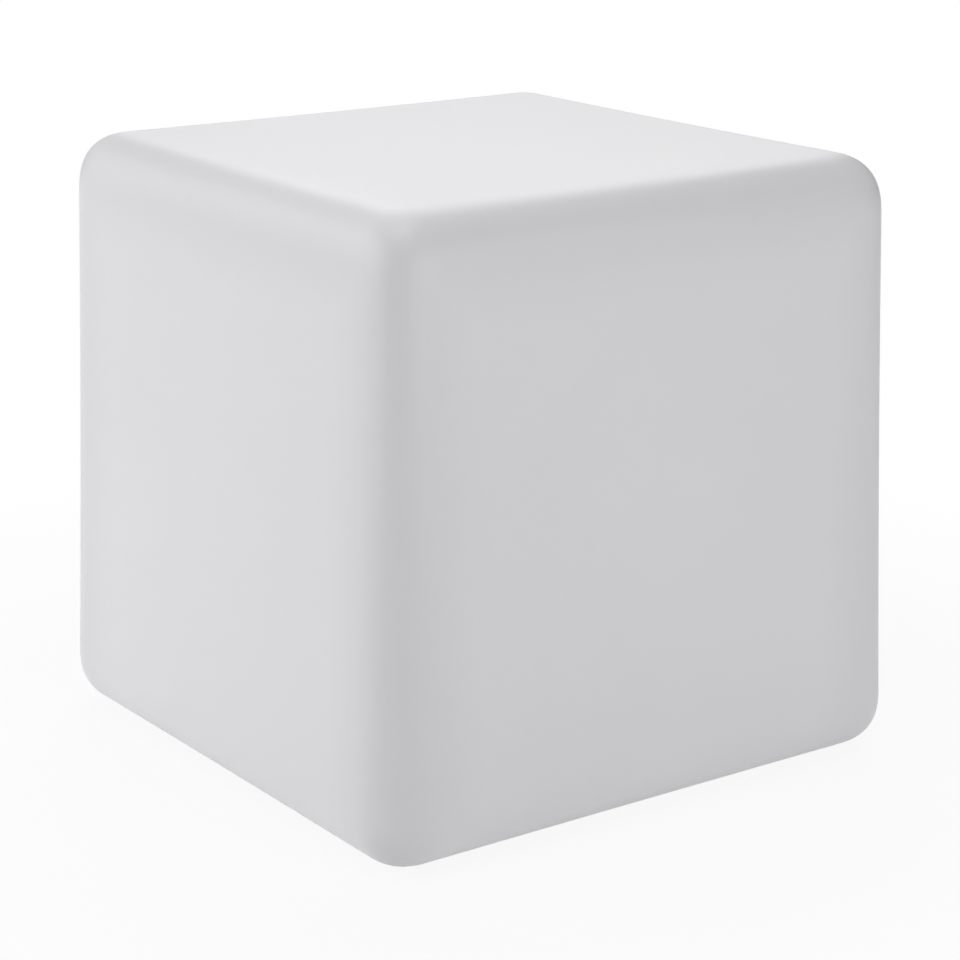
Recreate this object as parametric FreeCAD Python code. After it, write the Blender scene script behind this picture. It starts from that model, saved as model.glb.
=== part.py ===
import FreeCAD, Part
import os
from math import cos, hypot, pi, radians, sin, sqrt, tan

# Rechargeable LED cube light: a rotomoulded shell that stands on four rubber feet, with a sealed light
# module screwed into a round well in its underside.
# Millimetres, +Z up. The origin is on the ground, under the middle of the cube, and the module's axis is Z.
# The front of the cube faces -Y.

# ---- cube shell ----
base_width = 400.0  # side of the cube at its underside, corner to corner before the edges are rounded
shell_height = 387.5
draft_angle = 1.58  # degrees, so that the shell leaves its mould upwards
edge_radius = 31.0
wall = 4.0
face_sink = 1.4  # how far the middle of each side and of the top sinks as the plastic cools
sink_overreach = 1.03  # a sunk face is a sphere that runs this much past the face's corners
cavity_slack = 1.0  # what cuts a hole starts this far outside the wall

# ---- feet ----
foot_radius = 11.0
foot_stand = 1.5  # how far the feet hold the shell off the ground
foot_pocket_depth = 3.0
foot_edge_distance = 55.0  # from the shell's side to a foot's axis
foot_clearance = 0.1
foot_rounding = 0.8

# ---- well in the underside, and the module's screws ----
well_depth = 20.0
well_draft = 2.0  # how much the well's mouth is wider than its root, on the radius
well_clearance = 2.5  # round the module's flange
well_mouth_rounding = 4.0
well_root_rounding = 3.0
opening_clearance = 1.5  # between the shell's opening and the module's cup
insert_count = 6
insert_radius = 3.5
insert_length = 10.0
insert_wall = 3.0
insert_edge_distance = 3.5  # from the opening's edge to an insert's boss
thread_clearance = 0.05
module_screw_radius = 2.0
module_screw_length = 14.0
module_screw_head_radius = 4.0
module_screw_head_height = 2.5
screw_hole_clearance = 0.25
screw_tip_gap = 1.0  # between a screw's tip and the end of its hole

# ---- module housing ----
flange_thickness = 4.0
flange_rim = 8.0  # from the screws' circle to the flange's edge
flange_rounding = 1.0
blind_share = 0.6  # a blind hole in the flange goes this far through it
cup_wall = 2.5
cup_room = 6.5  # between the battery's corners and the cup's wall
rim_rise = 2.0  # the cup's rim above the light source board
gasket_thickness = 1.0

# ---- battery ----
cell_diameter = 18.5
cell_length = 65.0
cell_gap = 0.3
cell_seat_clearance = 0.1
cell_end_clearance = 0.3
pack_offset = 6.5  # the battery sits this far behind the module's axis
cradle_floor = 1.5
cradle_under_cell = 0.5
cradle_end_wall = 1.6
cradle_rib_spacing = 44.0
cradle_rib_thickness = 3.0
saddle_drop = 0.33  # the saddles end this share of a cell's radius under its axis
cell_rounding = 0.8
clamp_width = 24.0
clamp_thickness = 1.5
clamp_clearance = 0.3
clamp_foot_length = 8.0
clamp_foot_width = 12.0
tab_thickness = 0.4
tab_width = 6.0
tab_overlap = 2.0
battery_board_size = (48.0, 10.0)
battery_board_thickness = 1.0
battery_chip_size = (5.0, 4.0, 1.2)
battery_chip_places = (-12.0, 14.0)
battery_plug_size = (6.0, 4.0, 2.4)
battery_plug_x = 4.0
battery_socket_y = -15.0  # where the battery's lead goes into its socket

# ---- boards ----
board_thickness = 1.6
board_edge_clearance = 2.0
board_gap = 2.8  # between the battery's tabs and the control board
component_room = 10.0  # between the control board and the light source board
led_board_thickness = 2.0
board_post_radius = 3.0
board_post_inset = 8.5  # from the cup's wall to a board post's axis
board_post_angles = (90.0, 210.0, 330.0)
spacer_width = 5.0
led_size = 5.0
led_height = 1.6
led_cup_radius = 1.9
led_cup_depth = 0.3
outer_led_circle = 32.0  # radius of the outer ring of chips
outer_led_count = 16
inner_led_circle = 17.0
inner_led_count = 8
receiver_size = (7.0, 5.0, 3.0)
receiver_window_radius = 2.2
# Length, width, height, x and y of each chip on top of the control board.
control_chip_layout = (
    (9.0, 9.0, 1.2, 20.0, 12.0),
    (5.0, 4.0, 1.5, -8.0, 24.0),
    (5.0, 4.0, 1.5, 8.0, 26.0),
    (6.0, 5.0, 1.7, 24.0, -6.0),
    (3.0, 1.6, 0.8, -4.0, -28.0),
)
charge_light_width = 2.0
charge_light_height = 1.0
inductor_width = 12.0
inductor_height = 6.0
inductor_rounding = 2.0
inductor_place = (-22.0, 12.0)
capacitor_radius = 4.0
capacitor_height = 7.0
capacitor_rounding = 0.6
capacitor_place = (12.0, -16.0)
small_screw_radius = 1.5
small_head_radius = 2.75
small_head_height = 1.8
small_screw_length = 6.0
connector_height = 4.3
connector_width = 6.0
connector_depth = 6.0
header_pins = 4
header_pitch = 2.54
header_pin_size = 0.64
header_body_width = 2.5
header_y = 10.0
pin_hole_radius = 0.55
pin_stand = 1.2
part_clearance = 0.3

# ---- diffuser dome ----
dome_post_angles = (15.0, 165.0, 270.0)
dome_post_radius = 3.5
dome_post_inset = 3.0
dome_post_notch = 1.0
dome_flange_thickness = 2.5
dome_flange_width = 12.0
dome_wall = 2.0
dome_height = 24.0
dome_rounding = 14.0
dome_flange_rounding = 0.6

# ---- push button ----
panel_spacing = 40.0  # between the button's axis and the charging socket's
panel_gap = 2.15  # between the button's nut and the battery
seal_thickness = 1.0
nut_height = 3.0
nut_wall = 1.5  # between a nut's thread and its flats
seal_inset = 0.3  # a seal stays this far inside the nut's or the bezel's edge
bezel_thickness = 2.0
bezel_rounding = 0.8
switch_bezel_width = 2.5
switch_barrel_wall = 1.8
switch_lip = 1.2
switch_guide_height = 2.0
switch_chamber_clearance = 1.5
switch_chamber_room = 0.4  # above the contact disc when the button is pressed
switch_roof = 1.0
button_radius = 6.5
button_flange_width = 0.9
button_flange_height = 1.5
button_clearance = 0.3
button_travel = 2.0
plunger_radius = 1.5
plunger_seat = 2.0
plunger_disc_radius = 4.5
plunger_disc_height = 0.8
spring_radius = 4.0
spring_wire = 0.8
spring_turns = 4
spring_room = 6.3
spring_seat_gap = 0.05

# ---- charging socket and its plug ----
jack_bezel_width = 1.5
jack_barrel_radius = 5.5
jack_bore_radius = 2.9
jack_bore_depth = 10.2
jack_pin_radius = 1.05
jack_pin_recess = 1.2
jack_pin_seat = 2.0
tip_share = 0.6  # the pin's tip is rounded by this share of its radius
contact_size = (0.4, 2.0, 6.3)
contact_clearance = 0.2
contact_inset = 1.4  # from the bezel to the sprung contact's lower end
barrel_clearance = 0.1
panel_body_height = 8.5  # how far the button's and the socket's bodies stand above the housing's floor
terminal_size = (0.8, 2.8, 4.0)
terminal_spacing = 5.0
connector_wall = 1.2
connector_roof = 2.5
plug_ring_width = 1.0  # how far the strap's ring shows round the socket's bezel
plug_ring_thickness = 1.2
plug_thickness = 2.0
plug_rounding = 0.6
plug_gap = 0.3
plug_stud_clearance = 0.45
plug_stud_length = 2.0
plug_tab_length = 2.7
plug_tab_width = 4.0
plug_tab_rise = 0.5
hinge_reach = 2.5  # from the strap's ring to the line that the plug swings about
strap_width = 4.0
strap_thickness = 1.0

# ---- charging indicator and leads ----
pipe_radius = 1.5
pipe_head_radius = 3.0
pipe_head_height = 1.0
pipe_y_drop = 3.0  # in front of the button's axis
pipe_boss_height = 9.0
pipe_boss_wall = 1.4
pipe_light_gap = 0.3
lead_diameter = 1.5
lead_reach = 9.5  # how far a lead runs sideways from the button or the socket to its connector
lead_bend = 4.4  # how far it rises and runs while it turns over
arc_share = 0.45  # an arc takes up to this share of the shorter run beside it

# ---- levels and radii worked out from the sizes above ----
shell_bottom = foot_stand
shelf_under = shell_bottom + well_depth
shelf_top = shelf_under + wall
flange_top = shelf_under - gasket_thickness
flange_under = flange_top - flange_thickness
floor = flange_top  # the inner floor of the module's cup

cell_radius = cell_diameter / 2
pack_half_width = cell_diameter + cell_gap / 2
cell_end = cell_length / 2
pack_half_length = cell_end + tab_thickness + cell_end_clearance + cradle_end_wall
pack_front = pack_offset - pack_half_width
pack_rear = pack_offset + pack_half_width
cell_axis = floor + cradle_floor + cradle_under_cell + cell_radius
clamp_under = cell_axis + cell_radius + clamp_clearance
clamp_top = clamp_under + clamp_thickness
battery_board_top = clamp_top + battery_board_thickness
tab_top = battery_board_top + tab_thickness
control_under = tab_top + board_gap
control_top = control_under + board_thickness
led_board_under = control_top + component_room
led_board_top = led_board_under + led_board_thickness

cup_inner = hypot(pack_half_length, pack_half_width + pack_offset) + cup_room
cup_outer = cup_inner + cup_wall
opening_radius = cup_outer + opening_clearance
insert_boss_radius = insert_radius + insert_wall
screw_circle = opening_radius + insert_edge_distance + insert_boss_radius
flange_radius = screw_circle + flange_rim
well_root_radius = flange_radius + well_clearance
well_mouth_radius = well_root_radius + well_draft
rim = led_board_top + rim_rise
dome_gasket_top = rim + gasket_thickness
dome_flange_top = dome_gasket_top + dome_flange_thickness
dome_bulb_radius = cup_outer - dome_flange_width + dome_wall
board_radius = cup_inner - board_edge_clearance
board_post_circle = cup_inner - board_post_inset
dome_post_circle = cup_inner - dome_post_inset

button_flange_radius = button_radius + button_flange_width
switch_mouth_radius = button_radius + button_clearance
switch_bore_radius = button_flange_radius + button_clearance
switch_barrel_radius = switch_bore_radius + switch_barrel_wall
switch_bezel_radius = switch_barrel_radius + switch_bezel_width
switch_chamber_radius = plunger_disc_radius + switch_chamber_clearance
switch_nut_width = 2 * (switch_barrel_radius + nut_wall)
switch_nut_corner = switch_nut_width / sqrt(3)
jack_bezel_radius = jack_barrel_radius + jack_bezel_width
jack_nut_width = 2 * (jack_barrel_radius + nut_wall)
plug_radius = jack_bezel_radius
plug_ring_radius = jack_bezel_radius + plug_ring_width
plug_stud_radius = jack_bore_radius - plug_stud_clearance
plug_stud_bore = jack_pin_radius + part_clearance
panel_y = pack_front - panel_gap - switch_nut_corner
pipe_y = panel_y - pipe_y_drop
switch_x = -panel_spacing / 2
jack_x = panel_spacing / 2
panel_body_top = floor + panel_body_height
switch_bezel_top = flange_under - seal_thickness
switch_bezel_under = switch_bezel_top - bezel_thickness
button_flange_under = switch_bezel_under + switch_lip
button_top = button_flange_under + button_flange_height
guide_under = button_top + spring_room
guide_top = guide_under + switch_guide_height
disc_under = guide_top + part_clearance
disc_top = disc_under + plunger_disc_height
chamber_top = disc_top + button_travel + switch_chamber_room
switch_top = chamber_top + switch_roof
jack_bezel_top = flange_under - plug_ring_thickness
jack_bezel_under = jack_bezel_top - bezel_thickness
contact_under = jack_bezel_top + contact_inset
plug_top = jack_bezel_under - plug_gap
plug_under = plug_top - plug_thickness
hinge_x = jack_x + plug_ring_radius + hinge_reach
panel_connector_top = max(switch_top, panel_body_top) + terminal_size[2] + connector_roof
board_connector_under = control_under - connector_height
lead_level = control_under - connector_height / 2

Z = FreeCAD.Vector(0, 0, 1)
ORIGIN = FreeCAD.Vector(0, 0, 0)


# ---- building blocks ----
def disc(radius, bottom, top, x=0.0, y=0.0):
    """A round solid that stands on its face, between two levels."""
    return Part.makeCylinder(radius, top - bottom, FreeCAD.Vector(x, y, bottom))


def ring(outer, inner, bottom, top, x=0.0, y=0.0):
    """A disc with a round hole through its middle."""
    return disc(outer, bottom, top, x, y).cut(disc(inner, bottom, top, x, y))


def box(size_x, size_y, bottom, top, x=0.0, y=0.0):
    """A box between two levels, centred on x and y."""
    corner = FreeCAD.Vector(x - size_x / 2, y - size_y / 2, bottom)
    return Part.makeBox(size_x, size_y, top - bottom, corner)


def hexagon(across_flats, bottom, top, x=0.0, y=0.0):
    """A hexagonal prism between two levels."""
    corner = across_flats / sqrt(3)
    angles = [k * pi / 3 for k in range(7)]
    points = [FreeCAD.Vector(x + corner * cos(a), y + corner * sin(a), bottom) for a in angles]
    return Part.Face(Part.makePolygon(points)).extrude(Z * (top - bottom))


def rounded_outline(points, radii):
    """A closed wire through (radius, level) points in the XZ plane, each corner with its own rounding."""
    corners = [FreeCAD.Vector(r, 0, z) for r, z in points]
    arcs = []
    for k, corner in enumerate(corners):
        radius = radii.get(k, 0.0)
        before = (corners[k - 1] - corner).normalize()
        after = (corners[(k + 1) % len(corners)] - corner).normalize()
        half_angle = before.getAngle(after) / 2
        reach = radius / tan(half_angle)
        bisector = (before + after).normalize()
        middle = corner + bisector * (radius / sin(half_angle) - radius)
        arcs.append((corner + before * reach, middle, corner + after * reach, radius))
    edges = []
    for k, (start, middle, end, radius) in enumerate(arcs):
        if radius > 0:
            edges.append(Part.Arc(start, middle, end).toShape())
        next_start = arcs[(k + 1) % len(arcs)][0]
        if (next_start - end).Length > 1e-6:
            edges.append(Part.LineSegment(end, next_start).toShape())
    return Part.Wire(edges)


def turned(points, radii=None, x=0.0, y=0.0):
    """A solid turned about a vertical axis, from its outline of (radius, level) points."""
    solid = Part.Face(rounded_outline(points, radii or {})).revolve(ORIGIN, Z, 360)
    solid.translate(FreeCAD.Vector(x, y, 0))
    return solid


def round_positions(count, radius, first_angle=0.0):
    """Evenly spaced places on a circle about the module's axis."""
    return angle_positions([first_angle + 360.0 * k / count for k in range(count)], radius)


def angle_positions(angles, radius):
    """Places on a circle about the module's axis, at the given angles in degrees."""
    return [(radius * cos(radians(a)), radius * sin(radians(a))) for a in angles]


def pan_screw(radius, head_radius, head_height, length, seat, x, y, down=True):
    """A pan-head screw whose head sits on the level seat, with a hexagonal socket in the head.
    With down its shank points down; otherwise it points up and its head hangs under the seat."""
    shank = disc(radius, -length, 0)
    head = disc(head_radius, 0, head_height)
    top_edges = [e for e in head.Edges if e.CenterOfMass.z > head_height * 0.99 and e.Closed]
    head = head.makeFillet(head_height * 0.4, top_edges[:1])
    socket = hexagon(head_radius * 0.9, head_height * 0.4, head_height)
    screw = shank.fuse(head).cut(socket).removeSplitter()
    if not down:
        screw.rotate(ORIGIN, FreeCAD.Vector(1, 0, 0), 180)
    screw.translate(FreeCAD.Vector(x, y, seat))
    return screw


def lead(name, points, diameter):
    """A flexible lead: straight runs joined by tangent arcs, as large as the runs beside them allow."""
    corners = [FreeCAD.Vector(*p) for p in points]
    edges = []
    start = corners[0]
    radii = []
    for before, corner, after in zip(corners, corners[1:], corners[2:]):
        back = before - corner
        ahead = after - corner
        shorter = min(back.Length, ahead.Length)
        back.normalize()
        ahead.normalize()
        half_turn = (pi - back.getAngle(ahead)) / 2
        reach = arc_share * shorter
        radius = reach / tan(half_turn)
        middle = corner + (back + ahead).normalize() * (radius / cos(half_turn) - radius)
        edges.append(Part.LineSegment(start, corner + back * reach).toShape())
        edges.append(Part.Arc(corner + back * reach, middle, corner + ahead * reach).toShape())
        start = corner + ahead * reach
        radii.append(round(radius, 2))
    edges.append(Part.LineSegment(start, corners[-1]).toShape())
    path = Part.Wire(edges)
    direction = corners[1] - corners[0]
    section = Part.Wire(Part.makeCircle(diameter / 2, corners[0], direction))
    tube = path.makePipeShell([section], True, False)
    expected = pi * diameter**2 / 4 * path.Length
    ratio = round(tube.Volume / expected, 4)
    print(name, "bend radii", radii, "length", round(path.Length, 1), "volume over section x length", ratio)
    return tube


def save(name, solids):
    """Writes one sub-part, made of one solid or of several separate ones."""
    shape = Part.makeCompound(solids) if isinstance(solids, list) else solids
    if not shape.isValid() or shape.Volume <= 0:
        raise ValueError(name + " is not a sound solid")
    shape.exportStep(os.path.join("parts", name + ".step"))


# ---- shell ----
def side_half_width(level, inset):
    """Half the width of the drafted block at a level, drawn in by the wall when inset is the wall."""
    slope = radians(draft_angle)
    return base_width / 2 - (level - shell_bottom) * tan(slope) - inset / cos(slope)


def square_outline(level, inset):
    half = side_half_width(level, inset)
    corners = [(-half, -half), (half, -half), (half, half), (-half, half), (-half, -half)]
    return Part.makePolygon([FreeCAD.Vector(x, y, level) for x, y in corners])


def sunk_block(inset):
    """The rounded cube: a drafted block whose sides and top are very large spheres, with rounded edges.
    With an inset it is the hollow inside, parallel to the outer faces."""
    bottom = shell_bottom + inset
    top = shell_bottom + shell_height - inset
    block = Part.makeLoft([square_outline(bottom, inset), square_outline(top, inset)], True, True)
    reach = sink_overreach * hypot(base_width / 2, shell_height / 2)
    sphere_radius = (reach**2 + face_sink**2) / (2 * face_sink)
    middle_level = shell_bottom + shell_height / 2
    sphere_centre = FreeCAD.Vector(sphere_radius - face_sink, 0, 0)
    for quarter in range(4):
        sphere = Part.makeSphere(sphere_radius + inset, sphere_centre)
        sphere.rotate(ORIGIN, FreeCAD.Vector(0, 1, 0), -draft_angle)
        sphere.translate(FreeCAD.Vector(side_half_width(middle_level, 0), 0, middle_level))
        sphere.rotate(ORIGIN, Z, 90 * quarter)
        block = block.cut(sphere)
    sphere = Part.makeSphere(sphere_radius + inset, sphere_centre)
    sphere.rotate(ORIGIN, FreeCAD.Vector(0, 1, 0), -90)
    sphere.translate(FreeCAD.Vector(0, 0, shell_bottom + shell_height))
    block = block.cut(sphere).Solids[0]
    return block.makeFillet(edge_radius - inset, block.Edges)


def foot_positions():
    reach = base_width / 2 - foot_edge_distance
    return {
        "foot_front_left": (-reach, -reach),
        "foot_front_right": (reach, -reach),
        "foot_back_left": (-reach, reach),
        "foot_back_right": (reach, reach),
    }


def well_space():
    """The space of the well, down to the shelf that the module hangs from."""
    below = shell_bottom - cavity_slack
    mouth = well_mouth_radius + well_mouth_rounding
    outline = [
        (0, below),
        (mouth, below),
        (mouth, shell_bottom),
        (well_mouth_radius, shell_bottom),
        (well_root_radius, shelf_under),
        (0, shelf_under),
    ]
    return turned(outline, {3: well_mouth_rounding, 4: well_root_rounding})


def cube_shell():
    well_wall = disc(well_mouth_radius + wall, shell_bottom, shelf_top)
    hollow = sunk_block(wall).cut(well_wall)
    pocket_radius = foot_radius + foot_clearance
    pocket_top = shell_bottom + foot_pocket_depth
    screw_places = round_positions(insert_count, screw_circle)
    boss_top = shelf_under + insert_length + insert_wall
    for x, y in screw_places:
        hollow = hollow.cut(disc(insert_boss_radius, shelf_under, boss_top, x, y))
    for x, y in foot_positions().values():
        hollow = hollow.cut(disc(pocket_radius + wall, shell_bottom, pocket_top + wall, x, y))
    shell = sunk_block(0.0).cut(hollow).cut(well_space())
    shell = shell.cut(disc(opening_radius, shelf_under - cavity_slack, shelf_top + cavity_slack))
    for x, y in screw_places:
        insert_hole = disc(insert_radius, shelf_under - cavity_slack, shelf_under + insert_length, x, y)
        shell = shell.cut(insert_hole)
    for x, y in foot_positions().values():
        shell = shell.cut(disc(pocket_radius, shell_bottom - cavity_slack, pocket_top, x, y))
    return shell.Solids[0]


def foot(x, y):
    top = foot_stand + foot_pocket_depth
    outline = [(0, 0), (foot_radius, 0), (foot_radius, top), (0, top)]
    return turned(outline, {1: foot_rounding}, x, y)


def shell_inserts():
    bore = module_screw_radius + thread_clearance
    top = shelf_under + insert_length
    places = round_positions(insert_count, screw_circle)
    return [ring(insert_radius, bore, shelf_under, top, x, y) for x, y in places]


# ---- module housing and what seals it ----
def module_housing():
    """Flange, cup and posts in one moulding, with the holes for the button, the socket and the indicator."""
    outline = [(0, flange_under), (flange_radius, flange_under), (flange_radius, flange_top), (0, flange_top)]
    housing = turned(outline, {1: flange_rounding, 2: flange_rounding})
    housing = housing.fuse(ring(cup_outer, cup_inner, floor, rim))
    for x, y in angle_positions(board_post_angles, board_post_circle):
        housing = housing.fuse(disc(board_post_radius, floor, control_under, x, y))
    for x, y in angle_positions(dome_post_angles, dome_post_circle):
        housing = housing.fuse(disc(dome_post_radius, floor, rim, x, y))
    pipe_boss_radius = pipe_radius + barrel_clearance + pipe_boss_wall
    housing = housing.fuse(disc(pipe_boss_radius, floor, floor + pipe_boss_height, 0, pipe_y))
    below = flange_under - cavity_slack
    holes = [
        disc(switch_barrel_radius + barrel_clearance, below, floor + cavity_slack, switch_x, panel_y),
        disc(jack_barrel_radius + barrel_clearance, below, floor + cavity_slack, jack_x, panel_y),
        disc(pipe_radius + barrel_clearance, below, floor + pipe_boss_height + cavity_slack, 0, pipe_y),
    ]
    for x, y in round_positions(insert_count, screw_circle):
        holes.append(disc(module_screw_radius + screw_hole_clearance, below, floor + cavity_slack, x, y))
    post_hole = small_screw_radius + thread_clearance
    for x, y in angle_positions(board_post_angles, board_post_circle):
        bottom = control_under - small_screw_length - screw_tip_gap
        holes.append(disc(post_hole, bottom, control_under + cavity_slack, x, y))
    for x, y in angle_positions(dome_post_angles, dome_post_circle):
        holes.append(disc(post_hole, rim - small_screw_length, rim + cavity_slack, x, y))
    for x, y in battery_screw_places():
        holes.append(disc(post_hole, floor - flange_thickness * blind_share, floor + cavity_slack, x, y))
    for hole in holes:
        housing = housing.cut(hole)
    return housing.removeSplitter().Solids[0]


def module_gasket():
    gasket = ring(flange_radius - flange_rounding, opening_radius, flange_top, shelf_under)
    for x, y in round_positions(insert_count, screw_circle):
        gasket = gasket.cut(disc(module_screw_radius + screw_hole_clearance, flange_top, shelf_under, x, y))
    return gasket


def module_screws():
    sizes = (module_screw_radius, module_screw_head_radius, module_screw_head_height, module_screw_length)
    places = round_positions(insert_count, screw_circle)
    return [pan_screw(*sizes, flange_under, x, y, down=False) for x, y in places]


# ---- battery ----
def cell_positions():
    offset = (cell_diameter + cell_gap) / 2
    return {"battery_cell_front": pack_offset - offset, "battery_cell_rear": pack_offset + offset}


def lying_cylinder(radius, half_length, y):
    start = FreeCAD.Vector(-half_length, y, cell_axis)
    return Part.makeCylinder(radius, 2 * half_length, start, FreeCAD.Vector(1, 0, 0))


def battery_screw_places():
    reach = clamp_foot_length / 2 + clamp_thickness
    return [(0.0, pack_front - cell_gap - reach), (0.0, pack_rear + cell_gap + reach)]


def battery_cradle():
    """Floor, two saddle ribs, two end walls and the two ears that the clamp is screwed down on."""
    width = 2 * pack_half_width
    cradle = box(2 * pack_half_length, width, floor, floor + cradle_floor, 0, pack_offset)
    saddle_top = cell_axis - cell_radius * saddle_drop
    for x in (-cradle_rib_spacing / 2, cradle_rib_spacing / 2):
        cradle = cradle.fuse(box(cradle_rib_thickness, width, floor, saddle_top, x, pack_offset))
    for side in (-1, 1):
        x = side * (pack_half_length - cradle_end_wall / 2)
        cradle = cradle.fuse(box(cradle_end_wall, width, floor, cell_axis, x, pack_offset))
    ear_y = [y for x, y in battery_screw_places()]
    ear_length = ear_y[1] - ear_y[0] + clamp_foot_length
    cradle = cradle.fuse(box(clamp_foot_width, ear_length, floor, floor + cradle_floor, 0, sum(ear_y) / 2))
    for y in cell_positions().values():
        cradle = cradle.cut(lying_cylinder(cell_radius + cell_seat_clearance, cell_end + tab_thickness, y))
    for x, y in battery_screw_places():
        hole = small_screw_radius + screw_hole_clearance
        cradle = cradle.cut(disc(hole, floor, floor + cradle_floor, x, y))
    return cradle.removeSplitter()


def battery_cell(y):
    """A round cell with rolled ends."""
    cell = lying_cylinder(cell_radius, cell_end, y)
    rims = [e for e in cell.Edges if e.Closed]
    return cell.makeFillet(cell_rounding, rims)


def battery_tabs():
    """A nickel strip on each end of the battery, bent over its top on to the small board."""
    strips = []
    cells = list(cell_positions().values())
    plate_height = cell_radius
    inner_end = battery_board_size[0] / 2 - tab_overlap
    for side in (-1, 1):
        x = side * (cell_end + tab_thickness / 2)
        plate_width = cells[1] - cells[0] + tab_width
        plate_under = cell_axis - plate_height / 2
        plate = box(tab_thickness, plate_width, plate_under, plate_under + plate_height, x, pack_offset)
        riser = box(tab_thickness, tab_width, cell_axis, tab_top, x, pack_offset)
        outer_end = cell_end + tab_thickness
        length = outer_end - inner_end
        middle = side * (inner_end + length / 2)
        top = box(length, tab_width, battery_board_top, tab_top, middle, pack_offset)
        strips.append(plate.fuse([riser, top]).removeSplitter())
    return strips


def battery_board():
    return box(*battery_board_size, clamp_top, battery_board_top, 0, pack_offset)


def battery_board_parts():
    """The battery lead's plug and two chips on the battery's small board."""
    length, width, height = battery_plug_size
    plug_y = pack_offset - battery_board_size[1] / 2 + width / 2
    plug = box(length, width, battery_board_top, battery_board_top + height, battery_plug_x, plug_y)
    length, width, height = battery_chip_size
    top = battery_board_top + height
    chips = [box(length, width, battery_board_top, top, x, pack_offset) for x in battery_chip_places]
    return [plug] + chips


def battery_clamp():
    """A band over both cells, with a foot on each ear of the cradle."""
    places = battery_screw_places()
    leg_under = floor + cradle_floor
    foot_top = leg_under + clamp_thickness
    front = pack_front - cell_gap - clamp_thickness
    rear = pack_rear + cell_gap + clamp_thickness
    middle = (front + rear) / 2
    clamp = box(clamp_width, rear - front, clamp_under, clamp_top, 0, middle)
    for y in (front + clamp_thickness / 2, rear - clamp_thickness / 2):
        clamp = clamp.fuse(box(clamp_width, clamp_thickness, leg_under, clamp_top, 0, y))
    for x, y in places:
        clamp = clamp.fuse(box(clamp_foot_width, clamp_foot_length, leg_under, foot_top, x, y))
        clamp = clamp.cut(disc(small_screw_radius + screw_hole_clearance, leg_under, foot_top, x, y))
    return clamp.removeSplitter()


def battery_screws():
    seat = floor + cradle_floor + clamp_thickness
    length = cradle_floor + clamp_thickness + flange_thickness * blind_share - thread_clearance
    sizes = (small_screw_radius, small_head_radius, small_head_height, length)
    return [pan_screw(*sizes, seat, x, y) for x, y in battery_screw_places()]


# ---- boards ----
def round_board(bottom, top):
    """A round board with a hole over each board post and a notch round each dome post."""
    board = disc(board_radius, bottom, top)
    for x, y in angle_positions(board_post_angles, board_post_circle):
        board = board.cut(disc(small_screw_radius + thread_clearance, bottom, top, x, y))
    for x, y in angle_positions(dome_post_angles, dome_post_circle):
        board = board.cut(disc(dome_post_radius + dome_post_notch, bottom, top, x, y))
    for x in header_positions():
        board = board.cut(disc(pin_hole_radius, bottom, top, x, header_y))
    return board


def header_positions():
    return [header_pitch * (k - (header_pins - 1) / 2) for k in range(header_pins)]


def led_header():
    body = box(header_pins * header_pitch, header_body_width, control_top, led_board_under, 0, header_y)
    for x in header_positions():
        body = body.cut(disc(pin_hole_radius, control_top, led_board_under, x, header_y))
    return body


def led_header_pins():
    bottom = control_under - pin_stand
    top = led_board_top + pin_stand
    return [box(header_pin_size, header_pin_size, bottom, top, x, header_y) for x in header_positions()]


def board_spacers():
    """Hexagonal spacers between the boards, with lower threads through the control board into the posts."""
    spacers = []
    for x, y in angle_positions(board_post_angles, board_post_circle):
        body = hexagon(spacer_width, control_top, led_board_under, x, y)
        stud = disc(small_screw_radius, control_under - small_screw_length, control_top, x, y)
        bore_radius = small_screw_radius + thread_clearance
        bore = disc(bore_radius, led_board_under - small_screw_length, led_board_under, x, y)
        spacers.append(body.fuse(stud).cut(bore).removeSplitter())
    return spacers


def board_screws():
    length = led_board_thickness + small_screw_length - screw_tip_gap
    sizes = (small_screw_radius, small_head_radius, small_head_height, length)
    places = angle_positions(board_post_angles, board_post_circle)
    return [pan_screw(*sizes, led_board_top, x, y) for x, y in places]


def led_chips():
    """Square light-emitting chips in two rings, each turned to face along its radius."""
    chips = []
    top = led_board_top + led_height
    for radius, count in ((outer_led_circle, outer_led_count), (inner_led_circle, inner_led_count)):
        for k in range(count):
            angle = 360.0 * (k + 0.5) / count
            chip = box(led_size, led_size, led_board_top, top, radius, 0)
            chip = chip.cut(disc(led_cup_radius, top - led_cup_depth, top, radius, 0))
            chip.rotate(ORIGIN, Z, angle)
            chips.append(chip)
    return chips


def ir_receiver():
    """The remote control's receiver: a small block with a domed window on top."""
    length, width, height = receiver_size
    base = box(length, width, led_board_top, led_board_top + height)
    window = Part.makeSphere(receiver_window_radius, FreeCAD.Vector(0, 0, led_board_top + height))
    return base.fuse(window).removeSplitter()


def control_chips():
    """Chips on top of the control board, and under it the charging light over the light pipe."""
    chips = []
    for length, width, height, x, y in control_chip_layout:
        chips.append(box(length, width, control_top, control_top + height, x, y))
    light_under = control_under - charge_light_height
    chips.append(box(charge_light_width, charge_light_width, light_under, control_under, 0, pipe_y))
    return chips


def power_inductor():
    body = box(inductor_width, inductor_width, control_top, control_top + inductor_height, *inductor_place)
    upright = [e for e in body.Edges if abs(e.Vertexes[0].Z - e.Vertexes[1].Z) > inductor_height / 2]
    return body.makeFillet(inductor_rounding, upright)


def storage_capacitor():
    top = control_top + capacitor_height
    outline = [(0, control_top), (capacitor_radius, control_top), (capacitor_radius, top), (0, top)]
    return turned(outline, {2: capacitor_rounding}, *capacitor_place)


def connector_places():
    """Sockets under the control board: for the button, the charging socket and the battery."""
    reach = panel_spacing / 2 - lead_reach - connector_width / 2
    return [(-reach, panel_y), (reach, panel_y), (0.0, battery_socket_y - connector_depth / 2)]


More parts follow.
